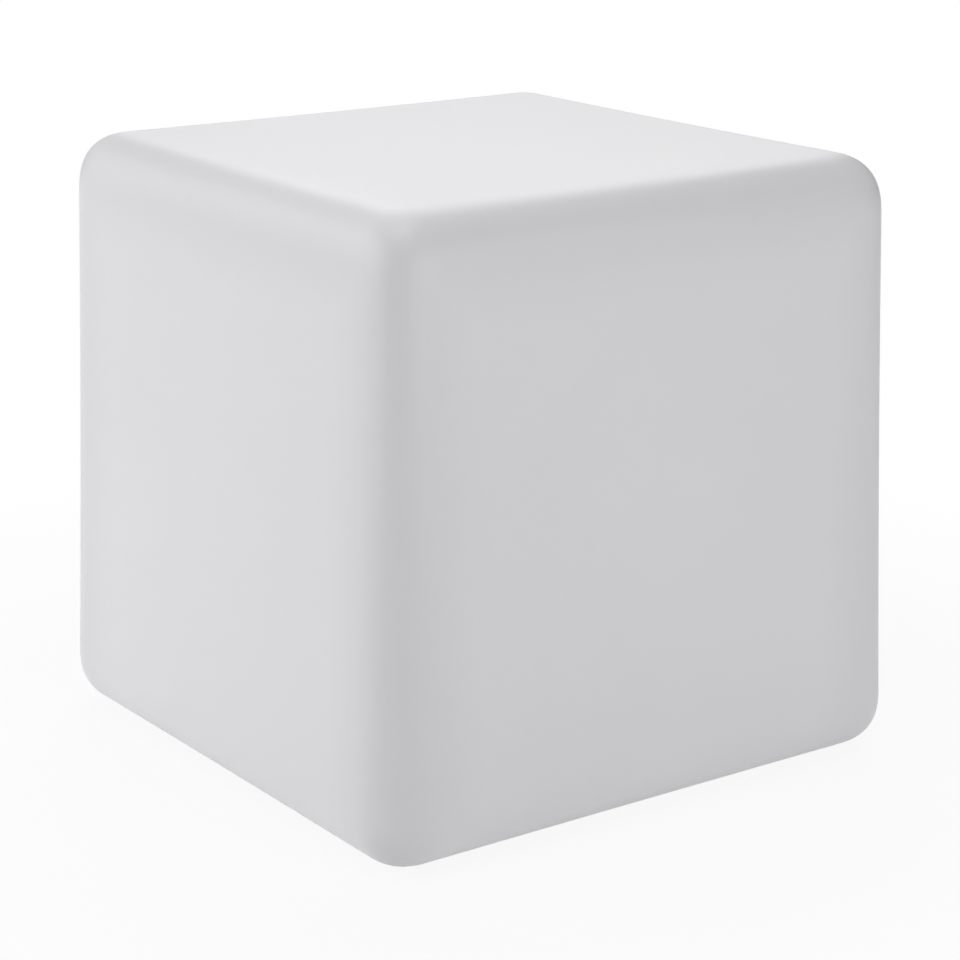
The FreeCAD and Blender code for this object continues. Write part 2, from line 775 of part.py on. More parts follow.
def board_connectors():
    size = (connector_width, connector_depth, board_connector_under, control_under)
    return [box(*size, x, y) for x, y in connector_places()]


# ---- diffuser dome ----
def dome_gasket():
    gasket = ring(cup_outer, dome_bulb_radius + seal_inset, rim, dome_gasket_top)
    for x, y in angle_positions(dome_post_angles, dome_post_circle):
        gasket = gasket.cut(disc(small_screw_radius + screw_hole_clearance, rim, dome_gasket_top, x, y))
    return gasket


def diffuser_dome():
    crown = dome_flange_top + dome_height
    inner = dome_bulb_radius - dome_wall
    outline = [
        (0, crown),
        (dome_bulb_radius, crown),
        (dome_bulb_radius, dome_flange_top),
        (cup_outer, dome_flange_top),
        (cup_outer, dome_gasket_top),
        (inner, dome_gasket_top),
        (inner, crown - dome_wall),
        (0, crown - dome_wall),
    ]
    dome = turned(outline, {1: dome_rounding, 3: dome_flange_rounding, 6: dome_rounding - dome_wall})
    for x, y in angle_positions(dome_post_angles, dome_post_circle):
        screw_hole = disc(small_screw_radius + screw_hole_clearance, dome_gasket_top, dome_flange_top, x, y)
        dome = dome.cut(screw_hole)
    return dome


def dome_screws():
    length = dome_flange_thickness + gasket_thickness + small_screw_length - screw_tip_gap
    sizes = (small_screw_radius, small_head_radius, small_head_height, length)
    places = angle_positions(dome_post_angles, dome_post_circle)
    return [pan_screw(*sizes, dome_flange_top, x, y) for x, y in places]


# ---- push button ----
def switch_body():
    """Bezel and threaded barrel in one, hollow for the button, its spring and the contact chamber."""
    outline = [
        (switch_mouth_radius, switch_bezel_under),
        (switch_bezel_radius, switch_bezel_under),
        (switch_bezel_radius, switch_bezel_top),
        (switch_barrel_radius, switch_bezel_top),
        (switch_barrel_radius, switch_top),
        (0, switch_top),
        (0, chamber_top),
        (switch_chamber_radius, chamber_top),
        (switch_chamber_radius, guide_top),
        (plunger_radius + thread_clearance, guide_top),
        (plunger_radius + thread_clearance, guide_under),
        (switch_bore_radius, guide_under),
        (switch_bore_radius, button_flange_under),
        (switch_mouth_radius, button_flange_under),
    ]
    return turned(outline, {1: bezel_rounding}, switch_x, panel_y)


def button_cap():
    under = switch_bezel_under - button_travel
    outline = [
        (0, under),
        (button_radius, under),
        (button_radius, button_flange_under),
        (button_flange_radius, button_flange_under),
        (button_flange_radius, button_top),
        (0, button_top),
    ]
    cap = turned(outline, {1: bezel_rounding}, switch_x, panel_y)
    hole = disc(plunger_radius + thread_clearance, button_top - plunger_seat, button_top, switch_x, panel_y)
    return cap.cut(hole)


def button_plunger():
    """Rod through the guide, with the disc that bridges the contacts at its top."""
    rod = disc(plunger_radius, button_top - plunger_seat, disc_top, switch_x, panel_y)
    return rod.fuse(disc(plunger_disc_radius, disc_under, disc_top, switch_x, panel_y)).removeSplitter()


def tangent_arc(start, corner, end):
    """The arc that leaves start towards corner and reaches end from it, both equally far from corner."""
    chord_middle = (start + end) / 2
    half_cosine = (end - start).Length / 2 / (corner - start).Length
    middle = chord_middle + (corner - chord_middle) * (half_cosine / (1 + half_cosine))
    return Part.Arc(start, middle, end).toShape()


def helix_path(radius, pitch, turns):
    """A helix about Z made of smoothly joined pairs of arcs, one pair for each quarter turn."""
    places = []
    for k in range(4 * turns + 1):
        angle = k * pi / 2
        place = FreeCAD.Vector(radius * cos(angle), radius * sin(angle), pitch * k / 4)
        direction = FreeCAD.Vector(-radius * sin(angle), radius * cos(angle), pitch / (2 * pi)).normalize()
        places.append((place, direction))
    edges = []
    for (start, leaving), (end, arriving) in zip(places, places[1:]):
        span = end - start
        along = span.dot(leaving + arriving)
        spread = 2 * (1 - leaving.dot(arriving))
        reach = (sqrt(along**2 + spread * span.dot(span)) - along) / spread
        first = start + leaving * reach
        second = end - arriving * reach
        joint = (first + second) / 2
        edges.append(tangent_arc(start, first, joint))
        edges.append(tangent_arc(joint, second, end))
    return Part.Wire(edges)


def button_spring():
    """Compression spring between the button and the guide, one unbroken helix of round wire."""
    seat_gap = spring_seat_gap + spring_wire / 2
    pitch = (spring_room - 2 * seat_gap) / spring_turns
    path = helix_path(spring_radius, pitch, spring_turns)
    start = path.Vertexes[0].Point
    direction = FreeCAD.Vector(0, 2 * pi * spring_radius, pitch)
    section = Part.Wire(Part.makeCircle(spring_wire / 2, start, direction))
    spring = path.makePipeShell([section], True, False)
    expected = pi * spring_wire**2 / 4 * path.Length
    ratio = round(spring.Volume / expected, 4)
    gap = round(pitch - spring_wire, 2)
    print("button_spring gap between turns", gap, "volume over section x length", ratio)
    spring.translate(FreeCAD.Vector(switch_x, panel_y, button_top + seat_gap))
    return spring


def panel_nut(width, hole_radius, x):
    bottom = floor + seal_thickness
    top = bottom + nut_height
    return hexagon(width, bottom, top, x, panel_y).cut(disc(hole_radius, bottom, top, x, panel_y))


def switch_nut():
    return panel_nut(switch_nut_width, switch_barrel_radius + thread_clearance, switch_x)


def switch_seal():
    """One ring under the bezel outside, and one under the nut inside."""
    hole = switch_barrel_radius + thread_clearance
    outer = ring(switch_bezel_radius - seal_inset, hole, switch_bezel_top, flange_under, switch_x, panel_y)
    inner = ring(switch_nut_width / 2 - seal_inset, hole, floor, floor + seal_thickness, switch_x, panel_y)
    return [outer, inner]


def panel_terminals(top_of_body, x):
    blade_x, blade_y, height = terminal_size
    places = (x - terminal_spacing / 2, x + terminal_spacing / 2)
    return [box(blade_x, blade_y, top_of_body, top_of_body + height, place, panel_y) for place in places]


def panel_connector(top_of_body, x):
    """A crimp housing pushed over the two terminals, which the lead leaves upwards."""
    blade_x, blade_y, height = terminal_size
    bottom = top_of_body + part_clearance
    width = terminal_spacing + blade_x + 2 * connector_wall
    housing = box(width, blade_y + 2 * connector_wall, bottom, panel_connector_top, x, panel_y)
    for place in (x - terminal_spacing / 2, x + terminal_spacing / 2):
        pocket_top = top_of_body + height
        pocket_size = (blade_x + contact_clearance, blade_y + contact_clearance)
        housing = housing.cut(box(*pocket_size, bottom, pocket_top, place, panel_y))
    return housing


# ---- charging socket ----
def jack_body():
    bore_top = jack_bezel_under + jack_bore_depth
    outline = [
        (jack_bore_radius, jack_bezel_under),
        (jack_bezel_radius, jack_bezel_under),
        (jack_bezel_radius, jack_bezel_top),
        (jack_barrel_radius, jack_bezel_top),
        (jack_barrel_radius, panel_body_top),
        (0, panel_body_top),
        (0, bore_top),
        (jack_bore_radius, bore_top),
    ]
    body = turned(outline, {1: bezel_rounding}, jack_x, panel_y)
    pin_hole = disc(jack_pin_radius + thread_clearance, bore_top, bore_top + jack_pin_seat, jack_x, panel_y)
    thickness, width, length = contact_size
    slot_size = (2 * (thickness + 2 * contact_clearance), width + 2 * contact_clearance)
    slot_x = jack_x + jack_bore_radius
    slot = box(*slot_size, contact_under - contact_clearance, contact_under + length, slot_x, panel_y)
    return body.cut(pin_hole).cut(slot)


def jack_contact():
    """The sprung outer contact, which stands in a slot beside the socket's bore."""
    thickness, width, length = contact_size
    x = jack_x + jack_bore_radius + contact_clearance + thickness / 2
    return box(thickness, width, contact_under, contact_under + length, x, panel_y)


def jack_pin():
    """Centre contact of the socket, with a rounded tip that stays behind the bezel's face."""
    bottom = jack_bezel_under + jack_pin_recess
    top = jack_bezel_under + jack_bore_depth + jack_pin_seat
    outline = [(0, bottom), (jack_pin_radius, bottom), (jack_pin_radius, top), (0, top)]
    return turned(outline, {1: jack_pin_radius * tip_share}, jack_x, panel_y)


def jack_nut():
    return panel_nut(jack_nut_width, jack_barrel_radius + thread_clearance, jack_x)


def jack_seal():
    hole = jack_barrel_radius + thread_clearance
    return ring(jack_nut_width / 2 - seal_inset, hole, floor, floor + seal_thickness, jack_x, panel_y)


def plug_ring():
    """The rubber ring that holds the plug's strap, clamped under the socket's bezel."""
    hole = jack_barrel_radius + barrel_clearance
    return ring(plug_ring_radius, hole, jack_bezel_top, flange_under, jack_x, panel_y)


def plug_cap():
    """Rubber plug with a hollow stud that goes round the socket's centre contact, and a tab to pull."""
    outline = [
        (0, plug_under),
        (plug_radius, plug_under),
        (plug_radius, plug_top),
        (plug_stud_radius, plug_top),
        (plug_stud_radius, plug_top + plug_stud_length),
        (plug_stud_bore, plug_top + plug_stud_length),
        (plug_stud_bore, plug_top),
        (0, plug_top),
    ]
    cap = turned(outline, {1: plug_rounding, 2: plug_rounding / 2}, jack_x, panel_y)
    tab_end = plug_radius + plug_tab_length
    tab = box(tab_end, plug_tab_width, plug_under + plug_tab_rise, plug_top, jack_x - tab_end / 2, panel_y)
    return cap.fuse(tab).removeSplitter()


def plug_strap():
    """A short rubber strap, bent in a half circle from the ring down to the plug."""
    ring_level = jack_bezel_top + plug_ring_thickness / 2
    plug_level = plug_under + plug_thickness / 2
    bend = (ring_level - plug_level) / 2
    centre = FreeCAD.Vector(hinge_x - strap_thickness, 0, (ring_level + plug_level) / 2)
    outer = bend + strap_thickness / 2
    inner = bend - strap_thickness / 2
    ring_end = jack_x + plug_ring_radius
    plug_end = jack_x + plug_radius
    upper_out = FreeCAD.Vector(centre.x, 0, centre.z + outer)
    upper_in = FreeCAD.Vector(centre.x, 0, centre.z + inner)
    lower_in = FreeCAD.Vector(centre.x, 0, centre.z - inner)
    lower_out = FreeCAD.Vector(centre.x, 0, centre.z - outer)
    edges = [
        Part.LineSegment(FreeCAD.Vector(ring_end, 0, upper_out.z), upper_out),
        Part.Arc(upper_out, FreeCAD.Vector(centre.x + outer, 0, centre.z), lower_out),
        Part.LineSegment(lower_out, FreeCAD.Vector(plug_end, 0, lower_out.z)),
        Part.LineSegment(FreeCAD.Vector(plug_end, 0, lower_out.z), FreeCAD.Vector(plug_end, 0, lower_in.z)),
        Part.LineSegment(FreeCAD.Vector(plug_end, 0, lower_in.z), lower_in),
        Part.Arc(lower_in, FreeCAD.Vector(centre.x + inner, 0, centre.z), upper_in),
        Part.LineSegment(upper_in, FreeCAD.Vector(ring_end, 0, upper_in.z)),
        Part.LineSegment(FreeCAD.Vector(ring_end, 0, upper_in.z), FreeCAD.Vector(ring_end, 0, upper_out.z)),
    ]
    face = Part.Face(Part.Wire([e.toShape() for e in edges]))
    face.translate(FreeCAD.Vector(0, panel_y - strap_width / 2, 0))
    return face.extrude(FreeCAD.Vector(0, strap_width, 0))


def light_pipe():
    """Clear rod that carries the charging light from the control board to the housing's outer face."""
    top = control_under - charge_light_height - pipe_light_gap
    head_under = flange_under - pipe_head_height
    outline = [
        (0, head_under),
        (pipe_head_radius, head_under),
        (pipe_head_radius, flange_under),
        (pipe_radius, flange_under),
        (pipe_radius, top),
        (0, top),
    ]
    return turned(outline, {1: pipe_head_height / 2}, 0, pipe_y)


# ---- leads ----
def panel_lead(name, x):
    """From a crimp housing up and over in two half turns, to its socket under the control board."""
    side = 1 if x < 0 else -1
    rise = lead_level - panel_connector_top
    points = [
        (x, panel_y, panel_connector_top),
        (x, panel_y, panel_connector_top + rise - lead_bend),
        (x + side * lead_bend, panel_y, lead_level),
        (x + side * lead_reach, panel_y, lead_level),
    ]
    return lead(name, points, lead_diameter)


def battery_lead():
    """From the battery's plug forwards to its socket, with a gentle sideways bend."""
    start_y = pack_offset - battery_board_size[1] / 2
    level = battery_board_top + battery_plug_size[2] / 2
    third = (start_y - battery_socket_y) / 3
    points = [
        (battery_plug_x, start_y, level),
        (battery_plug_x, start_y - third, level),
        (0.0, battery_socket_y + third, level),
        (0.0, battery_socket_y, level),
    ]
    return lead("battery_lead", points, lead_diameter)


def main():
    os.makedirs("parts", exist_ok=True)
    save("cube_shell", cube_shell())
    save("shell_inserts", shell_inserts())
    for name, (x, y) in foot_positions().items():
        save(name, foot(x, y))
    save("module_housing", module_housing())
    save("module_gasket", module_gasket())
    save("module_screws", module_screws())
    save("battery_cradle", battery_cradle())
    for name, y in cell_positions().items():
        save(name, battery_cell(y))
    save("battery_tabs", battery_tabs())
    save("battery_board", battery_board())
    save("battery_board_parts", battery_board_parts())
    save("battery_clamp", battery_clamp())
    save("battery_screws", battery_screws())
    save("control_board", round_board(control_under, control_top))
    save("control_chips", control_chips())
    save("power_inductor", power_inductor())
    save("storage_capacitor", storage_capacitor())
    save("board_connectors", board_connectors())
    save("board_spacers", board_spacers())
    save("board_screws", board_screws())
    save("led_board", round_board(led_board_under, led_board_top))
    save("led_chips", led_chips())
    save("led_header", led_header())
    save("led_header_pins", led_header_pins())
    save("ir_receiver", ir_receiver())
    save("dome_gasket", dome_gasket())
    save("diffuser_dome", diffuser_dome())
    save("dome_screws", dome_screws())
    save("switch_body", switch_body())
    save("switch_nut", switch_nut())
    save("switch_seal", switch_seal())
    save("button_cap", button_cap())
    save("button_plunger", button_plunger())
    save("button_spring", button_spring())
    save("switch_terminals", panel_terminals(switch_top, switch_x))
    save("switch_connector", panel_connector(switch_top, switch_x))
    save("jack_body", jack_body())
    save("jack_pin", jack_pin())
    save("jack_contact", jack_contact())
    save("jack_nut", jack_nut())
    save("jack_seal", jack_seal())
    save("jack_terminals", panel_terminals(panel_body_top, jack_x))
    save("jack_connector", panel_connector(panel_body_top, jack_x))
    save("plug_ring", plug_ring())
    save("plug_cap", plug_cap())
    save("plug_strap", plug_strap())
    save("light_pipe", light_pipe())
    save("switch_lead", panel_lead("switch_lead", switch_x))
    save("jack_lead", panel_lead("jack_lead", jack_x))
    save("battery_lead", battery_lead())


main()
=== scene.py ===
# %% [markdown]
# # LED cube light
# A hollow white cube, moulded in one piece, stands on four rubber feet. A sealed light module hangs in a
# round well in its underside. The CAD model holds every piece at its real place and size, so this script
# loads it as a fixed frame and adds what the CAD doesn't hold: the cube's soft moulded surface, a strap that
# bends and a spring that shortens, the finish of every surface, the studio and the camera.

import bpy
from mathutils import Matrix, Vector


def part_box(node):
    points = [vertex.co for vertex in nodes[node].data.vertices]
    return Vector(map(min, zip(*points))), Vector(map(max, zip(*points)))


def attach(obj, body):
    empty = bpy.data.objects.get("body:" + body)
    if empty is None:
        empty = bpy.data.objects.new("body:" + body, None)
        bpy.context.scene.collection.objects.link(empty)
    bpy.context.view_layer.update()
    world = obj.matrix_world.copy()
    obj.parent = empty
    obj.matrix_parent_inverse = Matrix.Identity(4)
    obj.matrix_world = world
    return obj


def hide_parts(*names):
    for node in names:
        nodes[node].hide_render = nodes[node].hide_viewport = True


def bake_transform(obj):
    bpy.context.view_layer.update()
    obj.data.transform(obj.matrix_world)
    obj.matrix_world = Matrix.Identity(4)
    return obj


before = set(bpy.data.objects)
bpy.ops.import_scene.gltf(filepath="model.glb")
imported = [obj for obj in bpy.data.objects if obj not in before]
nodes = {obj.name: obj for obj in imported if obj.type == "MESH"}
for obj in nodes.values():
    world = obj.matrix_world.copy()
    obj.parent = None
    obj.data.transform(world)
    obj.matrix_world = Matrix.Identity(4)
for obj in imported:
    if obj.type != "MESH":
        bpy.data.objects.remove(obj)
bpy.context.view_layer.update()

import bmesh
import bpy
import math
import numpy as np
from mathutils import Matrix, Vector

scene = bpy.context.scene
mm = 0.001

# %% [markdown]
# ## The camera
# The photograph looks down a little on one corner of the cube, from some way off: the cube's far edges are
# hardly shorter than its near ones. So the lens is long, and the camera stands about 1.8 m from the cube's
# middle. Its place is given as a direction round the object, a height above the horizon and a distance,
# which are easier to read than three coordinates.

# %% Camera
camera_azimuth = math.radians(-35.63)
camera_elevation = math.radians(16.15)
camera_roll = math.radians(0.17)
camera_distance = 1.7670
camera_lens = 102.16
aim_right = -5.59 * mm  # the middle of the picture looks this far from the cube's middle
aim_up = 27.11 * mm
middle_height = 195.25 * mm


def make_camera():
    """The camera's back vector is (sin a cos e, -cos a cos e, sin e). Its right and up vectors follow from
    it, turned by the roll. Its place is the cube's middle less the two aims, plus back times distance."""
    a, e = camera_azimuth, camera_elevation
    back = Vector((math.sin(a) * math.cos(e), -math.cos(a) * math.cos(e), math.sin(e)))
    level_right = Vector((math.cos(a), math.sin(a), 0))
    level_up = back.cross(level_right)
    right = math.cos(camera_roll) * level_right + math.sin(camera_roll) * level_up
    up = math.cos(camera_roll) * level_up - math.sin(camera_roll) * level_right
    data = bpy.data.cameras.new("camera")
    data.lens = camera_lens
    camera = bpy.data.objects.new("camera", data)
    scene.collection.objects.link(camera)
    place = Vector((0, 0, middle_height)) - aim_right * right - aim_up * up + camera_distance * back
    camera.matrix_world = Matrix.Translation(place) @ Matrix((right, up, back)).transposed().to_4x4()
    scene.camera = camera
    return camera


camera = make_camera()
print("camera at", [round(v, 3) for v in camera.matrix_world.translation])

# %% [markdown]
# ## Colours and nodes
# Colours are read off the object as sRGB hex values, the way a paint program shows them, and the shaders
# want linear light. One function turns one into the other. A second one adds a shader node with its
# settings and links in one line, so that each material below reads as a short recipe.

# %% Colours and nodes
def colour(hex_value):
    """Linear red, green, blue and 1 from an sRGB hex value: v / 12.92 in the darks, a power law above."""
    srgb = np.array([int(hex_value[k:k + 2], 16) for k in (1, 3, 5)]) / 255
    linear = np.where(srgb <= 0.04045, srgb / 12.92, ((srgb + 0.055) / 1.055) ** 2.4)
    return (*linear.tolist(), 1.0)


def add(tree, kind, settings=None, **inputs):
    """Adds a node. Settings are its own properties. Each input is a value or another node's output socket,
    and its name is the socket's, with _ for a space, or n and its number where names repeat."""
    node = tree.nodes.new("ShaderNode" + kind)
    for name, value in (settings or {}).items():
        setattr(node, name, value)
    for name, value in inputs.items():
        key = int(name[1:]) if name[0] == "n" and name[1:].isdigit() else name.replace("_", " ")
        if isinstance(value, bpy.types.NodeSocket):
            tree.links.new(value, node.inputs[key])
        else:
            node.inputs[key].default_value = value
    return node


def new_material(name, **values):
    """An empty material with a Principled shader that has the given values on its own sockets."""
    material = bpy.data.materials.new(name)
    material.use_nodes = True
    tree = material.node_tree
    tree.nodes.clear()
    shader = add(tree, "BsdfPrincipled", **values)
    output = add(tree, "OutputMaterial")
    tree.links.new(shader.outputs[0], output.inputs["Surface"])
    return material, tree, shader


def give(material, *names):
    """Puts a material on CAD nodes."""
    for name in names:
        nodes[name].data.materials.clear()
        nodes[name].data.materials.append(material)


# %% [markdown]
# ## How the shell is made
# The cube is rotomoulded: plastic powder melts inside a turning hollow mould and coats it in one even layer.
# That gives a wall of about 4 mm all round, generous edges whose curve fades in slowly, sides that lean in
# a little so that it leaves its mould, and faces that sank by about a millimetre as they cooled.
#
# A plain cube with a Bevel modifier has arcs for edges, and light shows a crease where an arc meets the
# flat. So each face is a surface of two parameters on a grid, and its edges follow a superellipse, whose
# curve starts from nothing. The inside is the same surface, one wall thickness smaller. The well, the
# holes and the bosses are turned solids that are cut from it or kept in it with Boolean modifiers.

# %% Sizes of the shell, in millimetres
base_width = 400.0
shell_height = 387.5
shell_bottom = 1.5
wall = 4.0
draft_slope = math.tan(math.radians(1.58))
face_sink = 1.4
sink_reach = 286.8  # from a face's middle to where the sinking ends, just past its corners
edge_blend = 38.0  # the edge's curve starts this far from the cube's corner
edge_power = 2.54  # of the superellipse: 2 is an arc, and more fades in more slowly
flat_cells = 32
edge_cells = 14


def grid_faces(rows, columns, closed):
    """Quads between the points of a grid. If it is closed, its last column joins its first."""
    index = np.arange(rows * columns).reshape(rows, columns)
    if closed:
        index = np.hstack((index, index[:, :1]))
    corners = (index[:-1, :-1], index[:-1, 1:], index[1:, 1:], index[1:, :-1])
    return np.stack(corners, axis=-1).reshape(-1, 4)


def make_mesh(name, patches, merge_step=1e-4):
    """One mesh from (points, closed) grids in millimetres. Points that coincide are merged, which closes the
    seams between patches, and a quad that is pinched to a point at a pole becomes a triangle."""
    starts = np.cumsum([0] + [points[..., 0].size for points, closed in patches])
    quads = [grid_faces(*points.shape[:2], closed) + s for (points, closed), s in zip(patches, starts)]
    every = np.concatenate([points.reshape(-1, 3) for points, closed in patches])
    steps = np.round(every / merge_step).astype(np.int64)
    first, merged = np.unique(steps, axis=0, return_index=True, return_inverse=True)[1:]
    quads = merged.ravel()[np.concatenate(quads)]
    pinched = quads == np.roll(quads, -1, axis=1)
    at_pole = pinched.any(axis=1)
    triangles = quads[at_pole][~pinched[at_pole]].reshape(-1, 3)
    mesh = bpy.data.meshes.new(name)
    mesh.from_pydata(every[first] * mm, [], quads[~at_pole].tolist() + triangles.tolist())
    outwards = bmesh.new()
    outwards.from_mesh(mesh)
    bmesh.ops.recalc_face_normals(outwards, faces=outwards.faces)
    outwards.to_mesh(mesh)
    outwards.free()
    mesh.shade_smooth()
    piece = bpy.data.objects.new(name, mesh)
    scene.collection.objects.link(piece)
    return piece


def cube_face(axis, sign, half_sizes, blend):
    """One face of the cube. Across the flat, a parameter moves the point over the face. Past it, t goes from
    0 to 1 round half of the edge. The point is the flat's nearest point plus blend times d, where d is
    (t_u, t_v, 1) divided by its own power norm, so that |x|^p + |y|^p + |z|^p is 1."""
    round_part = np.linspace(0, 1, edge_cells + 1)
    flat = np.concatenate((-np.ones(edge_cells), np.linspace(-1, 1, flat_cells + 1), np.ones(edge_cells)))
    turn = np.concatenate((-round_part[:0:-1], np.zeros(flat_cells + 1), round_part[1:]))
    core = half_sizes - blend
    across, along = (axis + 1) % 3, (axis + 2) % 3
    place = np.zeros((flat.size, flat.size, 3))
    place[..., across] = flat[:, None] * core[across]
    place[..., along] = flat[None, :] * core[along]
    place[..., axis] = sign * core[axis]
    direction = np.zeros_like(place)
    direction[..., across] = turn[:, None]
    direction[..., along] = turn[None, :]
    direction[..., axis] = sign
    norm = (np.abs(direction) ** edge_power).sum(axis=-1) ** (1 / edge_power)
    return place + blend * direction / norm[..., None]


def moulded(points):
    """The straight block as it leaves the mould: each side and the top sinks by face_sink times
    (1 - (distance from its middle / reach)^2), and the width shrinks with height by the draft."""
    x, y, z = np.moveaxis(points, -1, 0)
    half, above_middle = base_width / 2, z - shell_bottom - shell_height / 2
    height_share = (z - shell_bottom) / shell_height

    def sink(a, b):
        return face_sink * (1 - (a**2 + b**2) / sink_reach**2)

    taper = 1 - draft_slope * (z - shell_bottom) / half
    return np.stack((
        x * (1 - sink(y, above_middle) / half) * taper,
        y * (1 - sink(x, above_middle) / half) * taper,
        z - height_share * sink(x, y),
    ), axis=-1)


def rounded_cube(name, inset):
    """The closed outer surface of the cube, or with an inset the surface that far inside it."""
    half_sizes = np.array((base_width, base_width, shell_height)) / 2 - inset
    middle = np.array((0, 0, shell_bottom + shell_height / 2))
    blend = edge_blend - inset
    faces = [cube_face(axis, sign, half_sizes, blend) for axis in range(3) for sign in (-1, 1)]
    return make_mesh(name, [(moulded(face + middle), False) for face in faces])


def points_of(piece):
    """A piece's points in metres."""
    points = np.empty(3 * len(piece.data.vertices))
    piece.data.vertices.foreach_get("co", points)
    return points.reshape(-1, 3)


def fit_to_frame(outside, inside):
    """Stretches both surfaces alike about the middle of the bottom, so that the outer one is exactly as wide
    and as high as the frame's shell. The factors differ from 1 by less than a thousandth."""
    wanted, bottom = np.array(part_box("cube_shell")[1]), np.array((0, 0, shell_bottom * mm))
    factors = (wanted - bottom) / (points_of(outside).max(axis=0) - bottom)
    for piece in (outside, inside):
        piece.data.vertices.foreach_set("co", (bottom + (points_of(piece) - bottom) * factors).ravel())
        piece.data.update()
    return factors


outside = rounded_cube("cube_outside", 0)
inside = rounded_cube("cube_inside", wall)
print("cube surface:", len(outside.data.vertices), "points, stretched by",
      fit_to_frame(outside, inside).round(5).tolist())

# %% [markdown]
# ## The well, the holes and the bosses
# Under the cube a round well takes the light module. Six brass inserts sit in bosses round the well's
# opening, and the rubber feet sit in four shallow pockets. All of these are turned shapes, so each is an
# outline of radius and level, carried round an axis. What they fit is in the frame, so their radii and
# places are read from the CAD nodes' boxes plus a clearance.

# %% Sizes from the frame
def node_sizes(name):
    """Middle, radius (half the width) and lowest and highest level of a CAD node, in millimetres."""
    low, high = (np.array(corner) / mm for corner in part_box(name))
    return (low + high)[:2] / 2, (high - low)[0] / 2, low[2], high[2]


foot_names = [name for name in sorted(nodes) if name.startswith("foot_")]
foot_places = [node_sizes(name)[0] for name in foot_names]
foot_radius, foot_top = node_sizes(foot_names[0])[1], node_sizes(foot_names[0])[3]
flange_radius = node_sizes("module_housing")[1]
cup_radius = node_sizes("diffuser_dome")[1]
shelf_under, insert_top = node_sizes("shell_inserts")[2:]
insert_radius = 3.5
insert_circle = node_sizes("shell_inserts")[1] - insert_radius
shelf_top = shelf_under + wall
well_gap = 2.5  # between the module's flange and the well's wall
well_flare = 2.0  # by which the well widens towards its mouth
root_radius = flange_radius + well_gap
mouth_radius = root_radius + well_flare
print("well: root", round(root_radius, 2), "mouth", round(mouth_radius, 2),
      "shelf at", round(shelf_under, 2))

# %% Turned solids
def rounded_outline(points, roundings, steps=8):
    """(radius, level) points joined by straight lines, with an arc at each corner that has a rounding. The
    arc's centre lies on the corner's bisector, at rounding / sin(half the corner's angle) from it."""
    points = [np.array(point, float) for point in points]
    outline = [points[0]]
    for k in range(1, len(points) - 1):
        corner, rounding = points[k], roundings.get(k, 0)
        if not rounding:
            outline.append(corner)
            continue
        before, after = points[k - 1] - corner, points[k + 1] - corner
        before, after = before / np.hypot(*before), after / np.hypot(*after)
        half_angle = math.acos(before @ after) / 2
        bisector = (before + after) / np.hypot(*(before + after))
        centre = corner + bisector * rounding / math.sin(half_angle)
        reach = rounding / math.tan(half_angle)
        start, end = corner + before * reach - centre, corner + after * reach - centre
        turn = math.pi - 2 * half_angle
        share = np.linspace(0, 1, steps + 1)[:, None]
        arc = (np.sin((1 - share) * turn) * start + np.sin(share * turn) * end) / math.sin(turn)
        outline.extend(centre + arc)
    outline.append(points[-1])
    return np.array(outline)


def turned(name, outline, places=((0, 0),), around=48):
    """Closed solids of one outline, which starts and ends on its axis, carried round it at each place."""
    angle = np.linspace(0, 2 * np.pi, around, endpoint=False)
    radius, level = np.asarray(outline, float).T[..., None]
    solid = np.stack((radius * np.cos(angle), radius * np.sin(angle), level + 0 * angle), axis=-1)
    return make_mesh(name, [(solid + (x, y, 0), True) for x, y in places])


def cylinder(name, radius, low, high, places=((0, 0),), around=48):
    return turned(name, [(0, low), (radius, low), (radius, high), (0, high)], places, around)


insert_angles = np.arange(6) * np.pi / 3
insert_places = insert_circle * np.stack((np.cos(insert_angles), np.sin(insert_angles)), axis=-1)
margin = 1.0  # a tool that cuts a hole starts this far outside the wall
pocket_radius = foot_radius + 0.1  # a tenth of a millimetre of play
opening_radius = cup_radius + 1.5
boss_wall = 3.0
mouth_rounding = 4.0
root_rounding = 3.0
well_outline = rounded_outline([
    (0, shell_bottom - margin),
    (mouth_radius + mouth_rounding, shell_bottom - margin),
    (mouth_radius + mouth_rounding, shell_bottom),
    (mouth_radius, shell_bottom),
    (root_radius, shelf_under),
    (0, shelf_under),
], {3: mouth_rounding, 4: root_rounding})

kept_in_the_hollow = [
    cylinder("well_wall", mouth_radius + wall, shell_bottom - margin, shelf_top, around=96),
    cylinder("bosses", insert_radius + boss_wall, shelf_under, insert_top + boss_wall, insert_places),
    cylinder("pocket_roofs", pocket_radius + wall, shell_bottom - margin, foot_top + wall, foot_places),
]
cut_from_the_shell = [
    turned("well", well_outline, around=96),
    cylinder("opening", opening_radius, shelf_under - margin, shelf_top + margin, around=96),
    cylinder("insert_holes", insert_radius, shelf_under - margin, insert_top, insert_places),
    cylinder("foot_pockets", pocket_radius, shell_bottom - margin, foot_top, foot_places),
]


def carved(name, block, tools):
    """A new object: the block less each tool. The tools and the block are then removed."""
    for tool in tools:
        cut = block.modifiers.new(tool.name, "BOOLEAN")
        cut.operation, cut.solver, cut.object = "DIFFERENCE", "MANIFOLD", tool
    evaluated = block.evaluated_get(bpy.context.evaluated_depsgraph_get())
    piece = bpy.data.objects.new(name, bpy.data.meshes.new_from_object(evaluated))
    piece.data.materials.clear()
    scene.collection.objects.link(piece)
    for used in (block, *tools):
        bpy.data.objects.remove(used)
    return piece


hollow = carved("hollow", inside, kept_in_the_hollow)
shell = carved("moulded_shell", outside, [hollow, *cut_from_the_shell])
shell.data.set_sharp_from_angle(angle=math.radians(35))
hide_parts("cube_shell")
print("shell:", len(shell.data.polygons), "faces")

